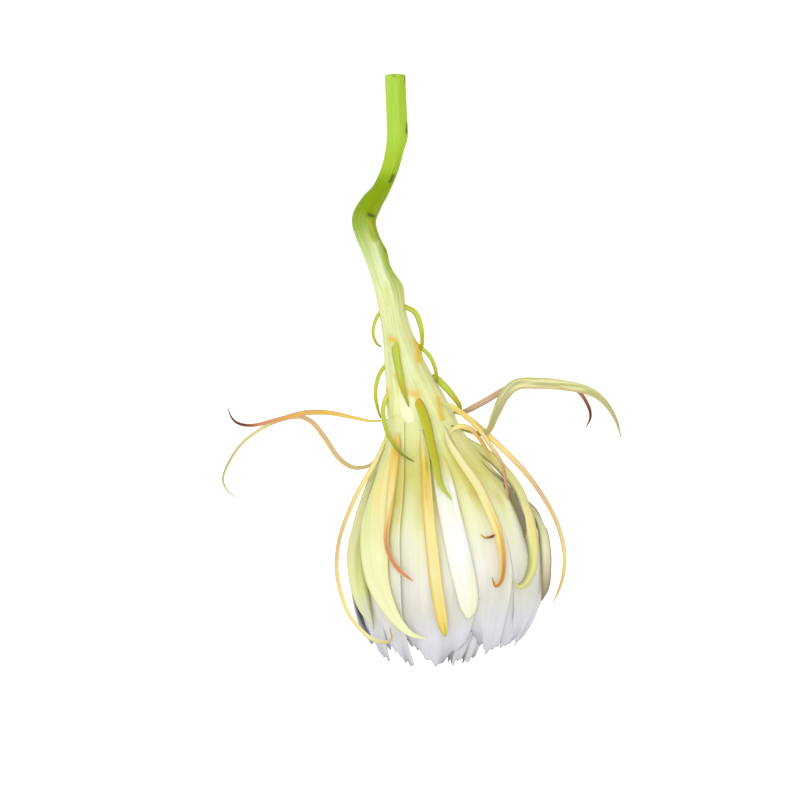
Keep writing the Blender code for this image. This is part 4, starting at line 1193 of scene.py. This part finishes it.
def inner_petals():
    draw = random.Random(11)
    for layer, (bell_inset, places) in enumerate(PETAL_LAYERS):
        # Each layer's ramp ends in its painted-shade tip colour
        skin = tissue(f"petal_skin_{layer}", PETAL_STOPS + [(1, LAYER_SHADED_TIPS[layer])], PETAL_HIGHLIGHT_BAND_STOPS,
                      bands=3.0, veins=34.0, vein_depth=0.05, through=0.14)
        for i, place in enumerate(places):
            points = petal_points(draw, layer, bell_inset, *place)
            blade(f"petal_{layer}_{i}", points, PETAL_THICK, skin, "inner_petals")


def rods(name, lines, material, node, sides=8):
    """Round rods along lists of X, Y, height and radius, as one mesh with closed ends."""
    vertices, faces, uvs = [], [], []
    askew = np.array((0.31, 0.22, 0.93))
    angle = np.linspace(0, 2 * math.pi, sides, endpoint=False)[None, :, None]
    for line in lines:
        line = np.array(line)
        tangents = unit(np.gradient(line[:, :3], axis=0))
        first = unit(np.cross(tangents, askew))
        second = np.cross(tangents, first)
        ring = first[:, None] * np.cos(angle) + second[:, None] * np.sin(angle)
        points = line[:, None, :3] + ring * line[:, 3, None, None]
        start = len(vertices)
        vertices += ((points.reshape(-1, 3) - ORIGIN) * MM).tolist()
        for i in range(len(line) - 1):
            for j in range(sides):
                k = (j + 1) % sides
                a, b = start + i * sides, start + (i + 1) * sides
                faces.append((a + j, a + k, b + k, b + j))
                uvs += [(j / sides, i / len(line))] * 4
        faces.append(tuple(range(start + sides - 1, start - 1, -1)))
        uvs += [(0.5, 0.0)] * sides
        faces.append(tuple(range(len(vertices) - sides, len(vertices))))
        uvs += [(0.5, 1.0)] * sides
    mesh = bpy.data.meshes.new(name)
    mesh.from_pydata(vertices, [], faces)
    leaf = mesh.uv_layers.new(name="leaf")
    leaf.data.foreach_set("uv", np.array(uvs, np.float32).reshape(-1))
    new_piece(name, mesh, material, node)


def stamens():
    """Rings of filaments that open into the bell, each with an anther across its tip."""
    draw = random.Random(5)
    filaments, anthers = [], []
    throat = bell_section(SEAM)[2]
    v = np.linspace(0, 1, STAMEN_STEPS)
    steps = np.linspace(-0.5, 0.5, ANTHER_STEPS)
    for layer, (count, inset, spread_share, tip) in enumerate(STAMEN_RINGS):
        for i in range(count):
            angle = 2 * math.pi * (i + STAMEN_STAGGER * layer) / count
            reach = tip + draw.uniform(-STAMEN_TIPS_VARY, STAMEN_TIPS_VARY)
            y = STAMEN_ROOT + (reach - STAMEN_ROOT) * v
            middle_x, middle_z, radius, depth = bell_section(y)
            opened = radius * spread_share * draw.uniform(0.85, 1.1) * v**1.6
            away = (throat - inset) * (1 - v) + opened
            x = middle_x + away * math.sin(angle)
            z = middle_z + depth * away * math.cos(angle)
            line = np.column_stack([x, y, z, np.full(STAMEN_STEPS, FILAMENT_RADIUS)])
            filaments.append(line)
            across = unit(np.array((draw.uniform(-1, 1), draw.uniform(-1, 0.2), draw.uniform(-1, 1))))
            body = line[-1, :3] + across * (steps * ANTHER_LENGTH)[:, None]
            girth = ANTHER_RADIUS * np.sqrt((1 - (1.9 * steps) ** 2).clip(0.04))
            anthers.append(np.column_stack([body, girth]))
    filament_skin = tissue("filament_skin", [(0, PALE_GREEN), (0.4, CREAM), (1, CREAM)], veins=3.0)
    anther_skin = tissue("anther_skin", [(0, LEMON), (1, LEMON)], veins=9.0, through=0.05, roughness=0.8)
    rods("filaments", filaments, filament_skin, "stamens", 6)
    rods("anthers", anthers, anther_skin, "stamens", 8)


def style():
    """The style along the bell's middle line, with its stigma's lobes spread like a star."""
    y = np.linspace(STAMEN_ROOT, STYLE_TIP, STYLE_STEPS)
    middle_x, middle_z, _, _ = bell_section(y)
    line = np.column_stack([middle_x, y, middle_z, np.full(STYLE_STEPS, STYLE_RADIUS)])
    skin = tissue("style_skin", [(0, PALE_GREEN), (0.6, CREAM), (1, CREAM)], veins=5.0, through=0.15)
    rods("style_column", [line], skin, "style", 16)
    tip = line[-1, :3]
    v = np.linspace(0, 1, LOBE_STEPS)[:, None]
    backward = np.array((0.0, 1.0, 0.0))
    lobes = []
    for i in range(STIGMA_LOBES):
        angle = 2 * math.pi * i / STIGMA_LOBES
        out = np.array((math.sin(angle), 0, math.cos(angle)))
        ahead = STIGMA_BASE - STIGMA_LENGTH * v
        aside = STIGMA_CROWDED + STIGMA_SPREAD * v**1.5
        lobe = tip + backward * ahead + out * aside
        lobes.append(np.column_stack([lobe, LOBE_RADIUS - LOBE_TAPER * v]))
    rods("stigma_lobes", lobes, skin, "style", 8)


def pale_surface():
    """A lit white surface under the flower."""
    bpy.ops.mesh.primitive_plane_add(size=SURFACE_SIZE, location=(0, 0, -SURFACE_DEPTH))
    floor = bpy.context.object
    floor.name = "surface"
    material, tree = shader_tree("pale_surface")
    paint = node_of(tree, "BsdfPrincipled", Base_Color=SURFACE_WHITE, Roughness=0.9,
                    Emission_Color=(1, 1, 1), Emission_Strength=SURFACE_GLOW)[0]
    node_of(tree, "OutputMaterial", paint)
    floor.data.materials.append(material)


def surroundings():
    """The surface, a bright even room, a soft lamp, and the camera straight above."""
    pale_surface()
    world = bpy.data.worlds.new("room")
    bpy.context.scene.world = world
    world.use_nodes = True
    backdrop = world.node_tree.nodes["Background"]
    backdrop.inputs[0].default_value = (1, 1, 1, 1)
    backdrop.inputs[1].default_value = ROOM_LIGHT
    for name, place, size, power in LAMPS:
        lamp = bpy.data.lights.new(name, "AREA")
        lamp.energy = power
        lamp.size = size
        holder = bpy.data.objects.new(name, lamp)
        holder.location = place
        holder.rotation_euler = (-Vector(place)).to_track_quat("-Z", "Y").to_euler()
        bpy.context.scene.collection.objects.link(holder)
    lens = bpy.data.cameras.new("camera")
    lens.lens = LENS
    lens.sensor_width = SENSOR_WIDTH
    camera = bpy.data.objects.new("camera", lens)
    camera.location = (-ORIGIN[0] * MM, -ORIGIN[1] * MM, (EYE + MIDDLE) * MM)
    bpy.context.scene.collection.objects.link(camera)
    bpy.context.scene.camera = camera
    bpy.context.scene.view_settings.view_transform = "Standard"


def main():
    surroundings()
    floral_tube()
    tube_scales()
    outer_tepals()
    middle_tepals()
    inner_petals()
    stamens()
    style()


main()
